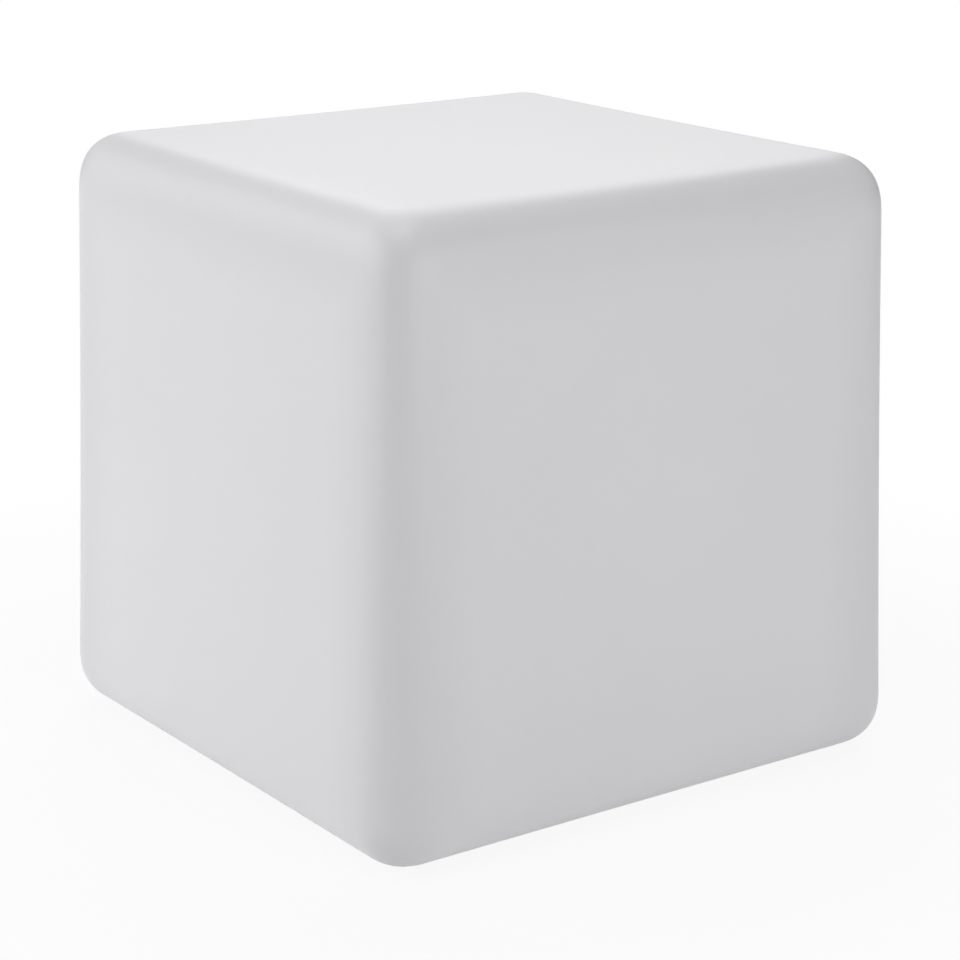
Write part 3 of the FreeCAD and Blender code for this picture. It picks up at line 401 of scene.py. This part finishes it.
# %% [markdown]
# ## The plug's strap
# A grey rubber plug closes the charging socket. A short strap ties it to a ring under the socket's bezel,
# and bends in a half circle from the ring down to the plug. When the plug swings away the strap has to bend
# on, so it can't stay one stiff CAD solid.

# %% Strap
strap_thickness = 1.0
strap_width = 4.0
strap_low, strap_high = (np.array(corner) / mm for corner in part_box("plug_strap"))
bend_radius = (strap_high[2] - strap_low[2] - strap_thickness) / 2
bend_reach = bend_radius + strap_thickness / 2
bend_middle = np.array((strap_high[0] - bend_reach, (strap_low[2] + strap_high[2]) / 2))
ring_side = node_sizes("plug_ring")[0][0] + node_sizes("plug_ring")[1]
plug_side = strap_low[0]
strap_y = (strap_low[1] + strap_high[1]) / 2


def strap_line(bend_points=25, straight_points=5):
    """Points (x, level) and their outward normals: straight from the ring to the bend, half a circle down,
    and straight back to the plug."""
    half_turn = np.linspace(np.pi / 2, -np.pi / 2, bend_points)
    bend = bend_middle + bend_radius * np.stack((np.cos(half_turn), np.sin(half_turn)), axis=-1)
    normals = np.stack((np.cos(half_turn), np.sin(half_turn)), axis=-1)
    share = np.linspace(0, 1, straight_points, endpoint=False)[:, None]
    from_ring = np.array((ring_side, bend[0, 1])) * (1 - share) + bend[0] * share
    to_plug = (np.array((plug_side, bend[-1, 1])) * (1 - share) + bend[-1] * share)[::-1]
    line = np.concatenate((from_ring, bend, to_plug))
    first, last = (np.repeat(normals[k:k + 1], straight_points, axis=0) for k in (0, bend_points - 1))
    out = np.concatenate((first, normals, last))
    return line, out


def strap_section(around=32, power=5):
    """A rounded bar's section: a superellipse, |a|^p + |b|^p = 1, as wide and as thick as the strap."""
    angle = np.linspace(0, 2 * np.pi, around, endpoint=False)
    c, s = np.cos(angle), np.sin(angle)
    size = (np.abs(c) ** power + np.abs(s) ** power) ** (-1 / power)
    return c * size * strap_width / 2, s * size * strap_thickness / 2


def make_strap():
    line, out = strap_line()
    sideways, thick = strap_section()
    place = line[:, None] + out[:, None] * thick[None, :, None]
    y = strap_y + np.broadcast_to(sideways, place.shape[:2])
    body = np.stack((place[..., 0], y, place[..., 1]), axis=-1)
    ends = [np.stack((body[k], np.broadcast_to(body[k].mean(axis=0), body[k].shape))) for k in (0, -1)]
    strap = make_mesh("plug_strap_bend", [(body, True), *((end, True) for end in ends)])
    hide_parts("plug_strap")
    return strap


strap = make_strap()
print("strap:", len(strap.data.polygons), "faces, bend radius", round(bend_radius, 2), "mm")

# %% [markdown]
# ## The button's spring
# A small compression spring lifts the button back out. It is cold-wound from round steel wire in four open
# turns. Its upper end rests against the switch and its lower end on the button, so it shortens when the
# button is pressed, and it is made here as a piece of its own too. It is a circle carried along a helix.

# %% Spring
spring_wire = 0.8
spring_turns = 4
spring_middle, spring_half_width, spring_low, spring_high = node_sizes("button_spring")


def make_spring(along=160, around=20):
    """The helix is (r cos t, r sin t, low + pitch t / 2 pi). A section's circle is spanned by the direction
    out of the helix's axis and the one square to it and to the wire."""
    radius = spring_half_width - spring_wire / 2
    rise = (spring_high - spring_low - spring_wire) / (2 * np.pi * spring_turns)
    t = np.linspace(0, 2 * np.pi * spring_turns, along + 1)[:, None]
    out = np.concatenate((np.cos(t), np.sin(t), 0 * t), axis=1)
    centre = radius * out + np.concatenate((0 * t, 0 * t, spring_low + spring_wire / 2 + rise * t), axis=1)
    square = np.concatenate((rise * np.sin(t), -rise * np.cos(t), radius + 0 * t), axis=1)
    square = square / np.hypot(radius, rise)
    angle = np.linspace(0, 2 * np.pi, around, endpoint=False)[None, :, None]
    ring = spring_wire / 2 * (np.cos(angle) * out[:, None] + np.sin(angle) * square[:, None])
    body = centre[:, None] + ring + (*spring_middle, 0)
    ends = [np.stack((body[k], np.broadcast_to(body[k].mean(axis=0), body[k].shape))) for k in (0, -1)]
    spring = make_mesh("button_spring_coil", [(body, True), *((end, True) for end in ends)])
    spring.data.set_sharp_from_angle(angle=math.radians(50))
    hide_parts("button_spring")
    return spring


spring = make_spring()
print("spring:", len(spring.data.polygons), "faces, from", round(spring_low, 2),
      "to", round(spring_high, 2), "mm")

# %% [markdown]
# ## The studio
# The object stands on white paper in even, soft light, with a white background all round. The light comes
# from a few large soft boxes and a dim sky. The white of the background costs the object no extra light:
# through Light Path, the paper and the sky show as plain white to the camera, and the paper also in
# reflections, while the lamps light an ordinary pale paper. Near the object the paper keeps a share of its
# real shading, so the contact shadow stays.

# %% Paper
paper_half_size = 7.0
paper_points = 9  # along each side
paper_near, paper_far = 0.28, 0.75  # metres from the middle: the paper's shading fades between these
white_near = 0.90  # the share of plain white close to the object


def white_paper():
    """Emission of strength 1 for camera, glossy and transmission rays, and a diffuse surface for the rest.
    Close to the object the two are mixed, and the mix goes to plain white with the distance."""
    material = bpy.data.materials.new("white_paper")
    material.use_nodes = True
    tree = material.node_tree
    tree.nodes.clear()
    place = add(tree, "TexCoord")
    distance = add(tree, "VectorMath", {"operation": "LENGTH"}, n0=place.outputs["Object"])
    share = add(tree, "MapRange", {"interpolation_type": "SMOOTHSTEP"}, Value=distance.outputs["Value"],
                From_Min=paper_near, From_Max=paper_far, To_Min=white_near, To_Max=1.0)
    path = add(tree, "LightPath")
    seen = add(tree, "Math", {"operation": "MAXIMUM"},
               n0=path.outputs["Is Camera Ray"], n1=path.outputs["Is Glossy Ray"])
    seen = add(tree, "Math", {"operation": "MAXIMUM"},
               n0=seen.outputs[0], n1=path.outputs["Is Transmission Ray"])
    amount = add(tree, "Math", {"operation": "MULTIPLY"}, n0=seen.outputs[0], n1=share.outputs[0])
    paper = add(tree, "BsdfDiffuse", Color=colour("#F0F0F0"))
    white = add(tree, "Emission", Color=colour("#FFFFFF"), Strength=1.0)
    mix = add(tree, "MixShader", n0=amount.outputs[0], n1=paper.outputs[0], n2=white.outputs[0])
    output = add(tree, "OutputMaterial")
    tree.links.new(mix.outputs[0], output.inputs["Surface"])
    return material


def lay_paper():
    side = np.linspace(-paper_half_size, paper_half_size, paper_points) / mm
    x, y = np.meshgrid(side, side, indexing="ij")
    paper = make_mesh("paper", [(np.stack((x, y, 0 * x), axis=-1), False)])
    paper.data.materials.append(white_paper())
    return paper


paper = lay_paper()
print("paper:", 2 * paper_half_size, "m square")

# %% [markdown]
# Each soft box is a square area lamp that looks at the cube's middle. The camera doesn't see the lamps
# themselves. Their powers differ, because the photograph's left side is brighter than its right, and the
# edge towards the camera is the darkest: the light comes from above, from behind and from both sides. The
# powers were found by rendering one lamp at a time and weighing them against the photograph's brightness.

# %% Sky and soft boxes
sky_strength = 0.1
soft_boxes = {  # azimuth and elevation in degrees, distance and side in metres, power in watts
    "back_high": (144, 45, 2.6, 1.8, 18.6),
    "back_low": (144, 20, 2.8, 1.6, 7.7),
    "right_back": (125, 6, 2.6, 1.2, 6.5),
    "left": (-100, 12, 2.6, 1.8, 24.6),
    "left_back": (-135, 20, 2.6, 1.8, 17.4),
    "right_front": (20, 10, 2.6, 1.6, 15.2),
    "over_front": (-35, 68, 1.3, 0.8, 3.3),
    "over_near": (0, 90, 1.2, 0.8, 1.7),
    "near_right": (-4, 8, 1.2, 0.6, 1.9),
}


def make_sky():
    """A dim even sky, which shows as plain white to camera and transmission rays."""
    world = bpy.data.worlds.new("studio")
    scene.world = world
    world.use_nodes = True
    tree = world.node_tree
    tree.nodes.clear()
    path = add(tree, "LightPath")
    seen = add(tree, "Math", {"operation": "MAXIMUM"},
               n0=path.outputs["Is Camera Ray"], n1=path.outputs["Is Transmission Ray"])
    sky = add(tree, "Background", Color=colour("#FFFFFF"), Strength=sky_strength)
    white = add(tree, "Background", Color=colour("#FFFFFF"), Strength=1.0)
    mix = add(tree, "MixShader", n0=seen.outputs[0], n1=sky.outputs[0], n2=white.outputs[0])
    output = add(tree, "OutputWorld")
    tree.links.new(mix.outputs[0], output.inputs["Surface"])


def hang_soft_box(name, azimuth, elevation, distance, side, power):
    """A square lamp at (sin a cos e, -cos a cos e, sin e) times the distance from the cube's middle, which it
    looks at."""
    a, e = math.radians(azimuth), math.radians(elevation)
    back = Vector((math.sin(a) * math.cos(e), -math.cos(a) * math.cos(e), math.sin(e)))
    lamp = bpy.data.lights.new(name, "AREA")
    lamp.size = side
    lamp.energy = power
    box = bpy.data.objects.new(name, lamp)
    place = Vector((0, 0, middle_height)) + distance * back
    box.matrix_world = Matrix.Translation(place) @ back.to_track_quat("Z", "Y").to_matrix().to_4x4()
    box.visible_camera = False
    scene.collection.objects.link(box)
    return box


make_sky()
lamps = [hang_soft_box(name, *facts) for name, facts in soft_boxes.items()]
bpy.data.objects["right_back"].visible_glossy = False  # it only fills the side away from the camera
print("soft boxes:", len(lamps))

# %% [markdown]
# ## The shell's finish
# Rotomoulded polyethylene: milky white, a little translucent, satin. The mould's surface is blasted and the
# skin repeats it as a very fine orange peel. Light goes a few millimetres into the plastic before it comes
# out again, which softens the shading, so the shader has some subsurface scattering. Each side also carries
# painted shade: its colour is painted a little darker along its left, right and upper borders than in its
# middle.

# %% Polyethylene
cloud_size = 120.0  # millimetres, like the sizes below
peel_size = 1.6
peel_depth = 0.1
light_depth = 4.0  # how far light wanders in the plastic
# where the painted shade along a side's borders begins and where it is full
border_start, border_full = 0.62, 0.92  # shares of the half width, from a face's middle
edge_shade_share = 0.72  # how much of the painted edge shade shows at the borders


def edge_shade_mask(tree, coordinates):
    """The mask of the shell's painted shade: 0 in the middle of a side, up to edge_shade_share at its left,
    right and upper borders. Of |x|, |y| and z - middle, as shares of the half size, the largest belongs to the
    side itself, so the middle one tells how near the next edge is. The lower border and what faces up stay 0."""
    middle = (0, 0, (shell_bottom + shell_height / 2) * mm)
    half = (base_width / 2 * mm, base_width / 2 * mm, shell_height / 2 * mm)
    away = add(tree, "VectorMath", {"operation": "SUBTRACT"}, n0=coordinates.outputs["Object"], n1=middle)
    share = add(tree, "VectorMath", {"operation": "DIVIDE"}, n0=away.outputs[0], n1=half)
    x, y, z = add(tree, "SeparateXYZ", Vector=share.outputs[0]).outputs
    x = add(tree, "Math", {"operation": "ABSOLUTE"}, n0=x).outputs[0]
    y = add(tree, "Math", {"operation": "ABSOLUTE"}, n0=y).outputs[0]
    low = add(tree, "Math", {"operation": "MINIMUM"}, n0=x, n1=y).outputs[0]
    high = add(tree, "Math", {"operation": "MAXIMUM"}, n0=x, n1=y).outputs[0]
    high = add(tree, "Math", {"operation": "MINIMUM"}, n0=high, n1=z).outputs[0]
    second = add(tree, "Math", {"operation": "MAXIMUM"}, n0=low, n1=high).outputs[0]
    near = add(tree, "MapRange", {"interpolation_type": "SMOOTHSTEP"}, Value=second,
               From_Min=border_start, From_Max=border_full, To_Max=edge_shade_share).outputs[0]
    upwards = add(tree, "SeparateXYZ", Vector=coordinates.outputs["Normal"]).outputs["Z"]
    beside = add(tree, "MapRange", Value=upwards, From_Min=0.3, From_Max=0.9,
                 To_Min=1.0, To_Max=0.0).outputs[0]
    return add(tree, "Math", {"operation": "MULTIPLY"}, n0=near, n1=beside).outputs[0]


def polyethylene():
    material, tree, shader = new_material(
        "rotomoulded_polyethylene", Roughness=0.42, IOR=1.51, Subsurface_Weight=0.35,
        Subsurface_Radius=(1.0, 0.95, 0.9), Subsurface_Scale=light_depth * mm)
    coordinates = add(tree, "TexCoord")
    place = coordinates.outputs["Object"]
    cloud = add(tree, "TexNoise", Vector=place, Scale=1 / (cloud_size * mm), Detail=2.0)
    milky = add(tree, "MixRGB", n0=cloud.outputs[0], n1=colour("#E6E6E9"), n2=colour("#E9E9EB"))
    # painted shade: by this mask the side's borders take the darker tone #DEDEE1
    thick = edge_shade_mask(tree, coordinates)
    painted_shade_tone = add(tree, "MixRGB", n0=thick, n1=milky.outputs[0], n2=colour("#DEDEE1"))
    tree.links.new(painted_shade_tone.outputs[0], shader.inputs["Base Color"])
    peel = add(tree, "TexNoise", Vector=place, Scale=1 / (peel_size * mm), Detail=3.0, Roughness=0.6)
    bump = add(tree, "Bump", Strength=0.08, Distance=peel_depth * mm, Height=peel.outputs[0])
    tree.links.new(bump.outputs[0], shader.inputs["Normal"])
    return material


shell.data.materials.append(polyethylene())
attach(shell, "cube")

# %% [markdown]
# ## Finishes
# Most pieces are mouldings, rubber or plain metal, and their finishes differ in the same few ways: how much
# the tone drifts over the surface, how evenly it shines, and how coarse and deep its grain is. One function
# builds such a finish from those sizes, all of them in real millimetres. A grain can be stretched, which
# makes the fine rings of a turned part or the streaks of rolled strip.

# %% One finish from its sizes
def finish(name, tones, clouds, shine, grain, depth, stretch=(1, 1, 1), **values):
    """A surface whose tone and roughness drift between two values each over clouds (mm), with a grain (mm)
    that stands depth (mm) high. A stretch above 1 on an axis makes the grain finer along it."""
    material, tree, shader = new_material(name, **values)
    place = add(tree, "TexCoord").outputs["Object"]
    drift = add(tree, "TexNoise", Vector=place, Scale=1 / (clouds * mm), Detail=2.0).outputs[0]
    tone = add(tree, "MixRGB", n0=drift, n1=colour(tones[0]), n2=colour(tones[1]))
    tree.links.new(tone.outputs[0], shader.inputs["Base Color"])
    gloss = add(tree, "MapRange", Value=drift, From_Min=0.3, From_Max=0.7, To_Min=shine[0], To_Max=shine[1])
    tree.links.new(gloss.outputs[0], shader.inputs["Roughness"])
    along = add(tree, "Mapping", Vector=place, Scale=stretch)
    fine = add(tree, "TexNoise", Vector=along.outputs[0], Scale=1 / (grain * mm), Detail=3.0, Roughness=0.6)
    bump = add(tree, "Bump", Strength=1.0, Distance=depth * mm, Height=fine.outputs[0])
    tree.links.new(bump.outputs[0], shader.inputs["Normal"])
    return material, tree, shader


def between(tree, value, low, high, soft=0.02 * mm):
    """1 where a value in metres lies from low to high (mm), and 0 outside, with soft borders."""
    rise = add(tree, "MapRange", Value=value, From_Min=low * mm - soft, From_Max=low * mm + soft)
    fall = add(tree, "MapRange", Value=value, From_Min=high * mm - soft, From_Max=high * mm + soft,
               To_Min=1.0, To_Max=0.0)
    return add(tree, "Math", {"operation": "MULTIPLY"}, n0=rise.outputs[0], n1=fall.outputs[0]).outputs[0]


def paint(tree, shader, socket, mask, value):
    """Where the mask is 1, the shader's socket takes a new value. A colour is mixed, a number blended."""
    old = shader.inputs[socket]
    before = old.links[0].from_socket if old.is_linked else None
    if isinstance(value, tuple):
        mix = add(tree, "MixRGB", n0=mask, n1=before or tuple(old.default_value), n2=value)
        tree.links.new(mix.outputs[0], old)
    else:
        low = before or old.default_value
        mix = add(tree, "MapRange", Value=mask, To_Min=low, To_Max=value)
        tree.links.new(mix.outputs[0], old)


# %% [markdown]
# ## Rubber, silicone and plastic
# The feet are hard black nitrile rubber, moulded in a plain steel tool: nearly black, with a dull skin that
# powders lighter where it rubs. The plug, its strap and the button's cap are a softer grey rubber. The four
# seals are red silicone, which is smooth and a little shiny. The module's own mouldings are pale grey ABS
# from a spark-eroded tool, which leaves a fine even frost.

# %% Rubber, silicone and plastic
foot_rubber = finish("moulded_nitrile_rubber", ("#171718", "#242426"), clouds=9, shine=(0.62, 0.8),
                     grain=0.35, depth=0.05, IOR=1.52)[0]
grey_rubber = finish("moulded_soft_grey_rubber", ("#525355", "#616264"), clouds=7, shine=(0.5, 0.66),
                     grain=0.3, depth=0.04, IOR=1.5, Sheen_Weight=0.08)[0]
red_silicone = finish("moulded_red_silicone", ("#9C3827", "#B04632"), clouds=12, shine=(0.36, 0.5),
                      grain=0.5, depth=0.02, IOR=1.43, Subsurface_Weight=0.15,
                      Subsurface_Radius=(1.0, 0.3, 0.2), Subsurface_Scale=1 * mm)[0]
housing_plastic = finish("spark_eroded_pale_grey_abs", ("#D8D9D9", "#E1E1E0"), clouds=25, shine=(0.44, 0.56),
                         grain=0.45, depth=0.045, IOR=1.54)[0]
white_nylon = finish("moulded_natural_nylon", ("#E1DECF", "#EAE7DC"), clouds=5, shine=(0.38, 0.5),
                     grain=0.4, depth=0.02, IOR=1.53, Subsurface_Weight=0.2, Subsurface_Scale=1 * mm)[0]
black_moulding = finish("glass_filled_black_nylon", ("#161618", "#212123"), clouds=6, shine=(0.34, 0.5),
                        grain=0.25, depth=0.03, IOR=1.54)[0]
lead_sleeve = finish("extruded_black_pvc", ("#151517", "#202022"), clouds=4, shine=(0.22, 0.34),
                     grain=0.3, depth=0.01, stretch=(1, 1, 0.3), IOR=1.53)[0]

give(foot_rubber, *foot_names)
give(grey_rubber, "plug_ring", "plug_strap", "plug_cap", "button_cap")
give(red_silicone, "module_gasket", "dome_gasket", "switch_seal", "jack_seal")
give(housing_plastic, "module_housing", "battery_cradle", "battery_clamp")
give(white_nylon, "board_connectors", "switch_connector", "jack_connector", "button_plunger")
give(black_moulding, "switch_body", "jack_body", "switch_nut", "jack_nut")
give(lead_sleeve, "battery_lead", "switch_lead", "jack_lead")
print("rubber and plastic: 7 materials")

# %% [markdown]
# ## Metals
# The inserts and spacers are turned from brass bar, so fine rings run round them, level by level. The screws
# are steel with clear zinc plating, whose faint blue-grey clouds come from the chromate dip. The battery
# tabs and the pins are nickel-plated strip, with streaks along the way it was rolled.

# %% Metals
turned_brass = finish("turned_brass", ("#C09640", "#D2AC58"), clouds=3, shine=(0.24, 0.36),
                      grain=1.0, depth=0.012, stretch=(0.6, 0.6, 8), Metallic=1.0)[0]
zinc_plated_steel = finish("zinc_plated_steel", ("#A9ACB2", "#BDBEC0"), clouds=1.5, shine=(0.26, 0.42),
                           grain=0.3, depth=0.01, Metallic=1.0)[0]
nickel_plated_strip = finish("nickel_plated_strip", ("#BBB7AC", "#CDC9C0"), clouds=4, shine=(0.18, 0.3),
                             grain=0.8, depth=0.008, stretch=(0.3, 6, 1), Metallic=1.0)[0]

give(turned_brass, "shell_inserts", "board_spacers")
give(zinc_plated_steel, "module_screws", "battery_screws", "board_screws", "dome_screws", "button_spring",
     "jack_contact")
give(nickel_plated_strip, "battery_tabs", "switch_terminals", "jack_terminals", "jack_pin",
     "led_header_pins")
print("metals: 3 materials")

# %% [markdown]
# ## Circuit boards
# The control board and the battery's small board are green glass-epoxy laminate. Solder mask covers copper
# tracks that show through as a lighter green, and tinned pads and vias lie bare. The light source board is
# aluminium with a white mask, which throws the light up, and its cut edge is bare metal. Tracks run square
# to the board's sides, so the pattern is made of square cells: the borders between the cells are the tracks,
# and the middles of some are the vias. The tracks are drawn a little coarser than the 0.3 mm of real ones.

# %% Boards
via_share = 0.3  # of the cells that have a via


def board(name, mask_tones, track_tone, metal_tone, cell, track, via, edge_tone):
    """Solder mask over tracks, with tinned vias. Cell, track (its width) and via (its radius) are in mm."""
    material, tree, shader = finish(name, mask_tones, clouds=15, shine=(0.2, 0.3), grain=0.6, depth=0.008,
                                    IOR=1.5)
    coordinates = add(tree, "TexCoord")
    place = coordinates.outputs["Object"]
    squares = {"voronoi_dimensions": "2D", "distance": "CHEBYCHEV"}
    nearest = add(tree, "TexVoronoi", {**squares, "feature": "F1"}, Vector=place, Scale=1 / (cell * mm))
    second = add(tree, "TexVoronoi", {**squares, "feature": "F2"}, Vector=place, Scale=1 / (cell * mm))
    gap = add(tree, "Math", {"operation": "SUBTRACT"},
              n0=second.outputs["Distance"], n1=nearest.outputs["Distance"])
    tracks = add(tree, "MapRange", Value=gap.outputs[0], From_Min=track / cell, From_Max=1.3 * track / cell,
                 To_Min=1.0, To_Max=0.0).outputs[0]
    vias = add(tree, "MapRange", Value=nearest.outputs["Distance"], From_Min=via / cell,
               From_Max=1.2 * via / cell, To_Min=1.0, To_Max=0.0).outputs[0]
    chance = add(tree, "SeparateColor", Color=nearest.outputs["Color"]).outputs[0]
    chosen = add(tree, "Math", {"operation": "GREATER_THAN"}, n0=chance, n1=1 - via_share).outputs[0]
    vias = add(tree, "Math", {"operation": "MULTIPLY"}, n0=vias, n1=chosen).outputs[0]
    upright = add(tree, "SeparateXYZ", Vector=coordinates.outputs["Normal"]).outputs["Z"]
    flat = add(tree, "Math", {"operation": "ABSOLUTE"}, n0=upright).outputs[0]
    edge = add(tree, "MapRange", Value=flat, From_Min=0.4, From_Max=0.6,
               To_Min=1.0, To_Max=0.0).outputs[0]
    vias = add(tree, "Math", {"operation": "SUBTRACT", "use_clamp": True}, n0=vias, n1=edge).outputs[0]
    paint(tree, shader, "Base Color", tracks, colour(track_tone))
    paint(tree, shader, "Base Color", vias, colour(metal_tone))
    paint(tree, shader, "Metallic", vias, 1.0)
    paint(tree, shader, "Base Color", edge, colour(edge_tone))
    paint(tree, shader, "Roughness", edge, 0.55)
    return material


green_board = board("green_glass_epoxy_laminate", ("#1B5530", "#236238"), "#2F7A48", "#C9C6BC", cell=3.2,
                    track=0.35, via=0.35, edge_tone="#A9A56A")
white_board = board("white_masked_aluminium_board", ("#EDEDE8", "#F2F2EE"), "#F6F6F3", "#C9C9C6", cell=7.5,
                    track=1.2, via=0.3, edge_tone="#A7A9AB")
give(green_board, "control_board", "battery_board")
give(white_board, "led_board")
print("boards: 2 materials")

# %% [markdown]
# ## Light source chips
# Each chip is a white ceramic-filled cup. A drop of silicone with yellow phosphor fills it, and turns the
# blue chip's light white. Unlit, the phosphor is a clear egg-yolk yellow. Its surface lies below the cup's
# rim, so the mask takes what faces up and lies lower than the package's top.

# %% Light source chips
chip_top = node_sizes("led_chips")[3]
cup_floor_margin = 0.15  # half the cup's depth


def phosphor_chip():
    material, tree, shader = finish("white_led_package", ("#ECEBE6", "#F3F2EE"), clouds=2, shine=(0.36, 0.5),
                                    grain=0.2, depth=0.01, IOR=1.53)
    coordinates = add(tree, "TexCoord")
    height = add(tree, "SeparateXYZ", Vector=coordinates.outputs["Object"]).outputs["Z"]
    upwards = add(tree, "SeparateXYZ", Vector=coordinates.outputs["Normal"]).outputs["Z"]
    facing = add(tree, "MapRange", Value=upwards, From_Min=0.4, From_Max=0.6).outputs[0]
    low = between(tree, height, node_sizes("led_chips")[2], chip_top - cup_floor_margin)
    phosphor = add(tree, "Math", {"operation": "MULTIPLY"}, n0=facing, n1=low).outputs[0]
    paint(tree, shader, "Base Color", phosphor, colour("#E9C63F"))
    paint(tree, shader, "Roughness", phosphor, 0.16)
    return material


give(phosphor_chip(), "led_chips")
print("phosphor below", round(chip_top - cup_floor_margin, 2), "mm")

# %% [markdown]
# ## Parts on the boards
# The chips, the coil and the receiver are black moulded epoxy. They stand on tinned feet, which show as a
# bright band by the board. The storage capacitor is an aluminium can in a dark blue shrink sleeve, whose
# pale stripe marks its negative side. The sleeve leaves the can's top bare.

# %% Parts on the boards
board_level = node_sizes("control_board")[3]
tin_height = 0.35


def black_epoxy():
    material, tree, shader = finish("moulded_black_epoxy", ("#17171A", "#222224"), clouds=3, shine=(0.42, 0.58),
                                    grain=0.12, depth=0.015, IOR=1.55)
    height = add(tree, "SeparateXYZ", Vector=add(tree, "TexCoord").outputs["Object"]).outputs["Z"]
    tinned = between(tree, height, board_level, board_level + tin_height)
    paint(tree, shader, "Base Color", tinned, colour("#B9B8B2"))
    paint(tree, shader, "Metallic", tinned, 1.0)
    return material


def capacitor_sleeve():
    middle, radius, low, high = node_sizes("storage_capacitor")
    stripe_half_angle = math.radians(32)
    material, tree, shader = finish("dark_blue_shrink_sleeve", ("#1B2748", "#22305A"), clouds=3,
                                    shine=(0.2, 0.3), grain=0.8, depth=0.01, IOR=1.52)
    coordinates = add(tree, "TexCoord")
    from_axis = add(tree, "VectorMath", {"operation": "SUBTRACT"}, n0=coordinates.outputs["Object"],
                    n1=(middle[0] * mm, middle[1] * mm, 0))
    parts = add(tree, "SeparateXYZ", Vector=from_axis.outputs[0])
    angle = add(tree, "Math", {"operation": "ARCTAN2"},
                n0=parts.outputs["Y"], n1=parts.outputs["X"]).outputs[0]
    turn = add(tree, "Math", {"operation": "ABSOLUTE"}, n0=angle).outputs[0]
    stripe = add(tree, "MapRange", Value=turn, From_Min=stripe_half_angle, From_Max=stripe_half_angle * 1.05,
                 To_Min=1.0, To_Max=0.0).outputs[0]
    upwards = add(tree, "SeparateXYZ", Vector=coordinates.outputs["Normal"]).outputs["Z"]
    bare = add(tree, "MapRange", Value=upwards, From_Min=0.5, From_Max=0.7).outputs[0]
    paint(tree, shader, "Base Color", stripe, colour("#8C9BC0"))
    paint(tree, shader, "Base Color", bare, colour("#C3C5C8"))
    paint(tree, shader, "Metallic", bare, 1.0)
    paint(tree, shader, "Roughness", bare, 0.32)
    return material


give(black_epoxy(), "control_chips", "power_inductor", "battery_board_parts", "led_header", "ir_receiver")
give(capacitor_sleeve(), "storage_capacitor")
print("tinned feet up to", round(board_level + tin_height, 2), "mm")

# %% [markdown]
# ## Battery cells
# Each cell is a steel can in a blue shrink sleeve. The sleeve is pulled tight, so it is smooth and glossy
# with faint lengthwise ripples, and it stops just round each end, where the nickel-plated can shows.

# %% Battery cells
cell_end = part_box("battery_cell_front")[1][0] / mm
sleeve_stop = 1.2  # of bare can at each end


def cell_sleeve():
    material, tree, shader = finish("blue_shrink_sleeve", ("#245A98", "#2D68AE"), clouds=20, shine=(0.16, 0.26),
                                    grain=1.5, depth=0.02, stretch=(0.2, 1, 1), IOR=1.55)
    along = add(tree, "SeparateXYZ", Vector=add(tree, "TexCoord").outputs["Object"]).outputs["X"]
    covered = between(tree, along, sleeve_stop - cell_end, cell_end - sleeve_stop)
    bare = add(tree, "Math", {"operation": "SUBTRACT"}, n0=1.0, n1=covered).outputs[0]
    paint(tree, shader, "Base Color", bare, colour("#BFBDB6"))
    paint(tree, shader, "Metallic", bare, 1.0)
    paint(tree, shader, "Roughness", bare, 0.3)
    return material


give(cell_sleeve(), "battery_cell_front", "battery_cell_rear")
print("cell sleeve from", round(sleeve_stop - cell_end, 2), "to", round(cell_end - sleeve_stop, 2), "mm")

# %% [markdown]
# ## Dome and light pipe
# The dome is acrylic with fine scattering beads: it looks milky, and lets the light through evenly. The
# light pipe is clear polished acrylic, with a trace of the mould's flow in it.

# %% Dome and light pipe
frosted_acrylic = finish("beaded_opal_acrylic", ("#EFF0EF", "#F4F5F4"), clouds=30, shine=(0.38, 0.46),
                         grain=0.5, depth=0.02, IOR=1.49, Transmission_Weight=0.25,
                         Subsurface_Weight=0.6, Subsurface_Scale=2 * mm)[0]
clear_acrylic = finish("clear_polished_acrylic", ("#F4F8FA", "#FAFCFD"), clouds=6, shine=(0.03, 0.07),
                       grain=3.0, depth=0.01, IOR=1.49, Transmission_Weight=1.0)[0]
give(frosted_acrylic, "diffuser_dome")
give(clear_acrylic, "light_pipe")
print("dome and light pipe: 2 materials")

# %% [markdown]
# ## The pieces that bend
# ## The strap and the spring
# They get their materials, and their placing is baked into their points. The strap hangs between the ring,
# which stays on the cube, and the plug.

# %% Blended pieces
strap.data.materials.append(grey_rubber)
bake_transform(strap)
spring.data.materials.append(zinc_plated_steel)
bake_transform(spring)
bare_nodes = [name for name, node in nodes.items() if name != "cube_shell" and not node.data.materials]
print("nodes without a material:", bare_nodes)

# %% [markdown]
# ## The end
# The picture's colours go out as they are, through the Standard view transform.

# %% View transform
scene.view_settings.view_transform = "Standard"
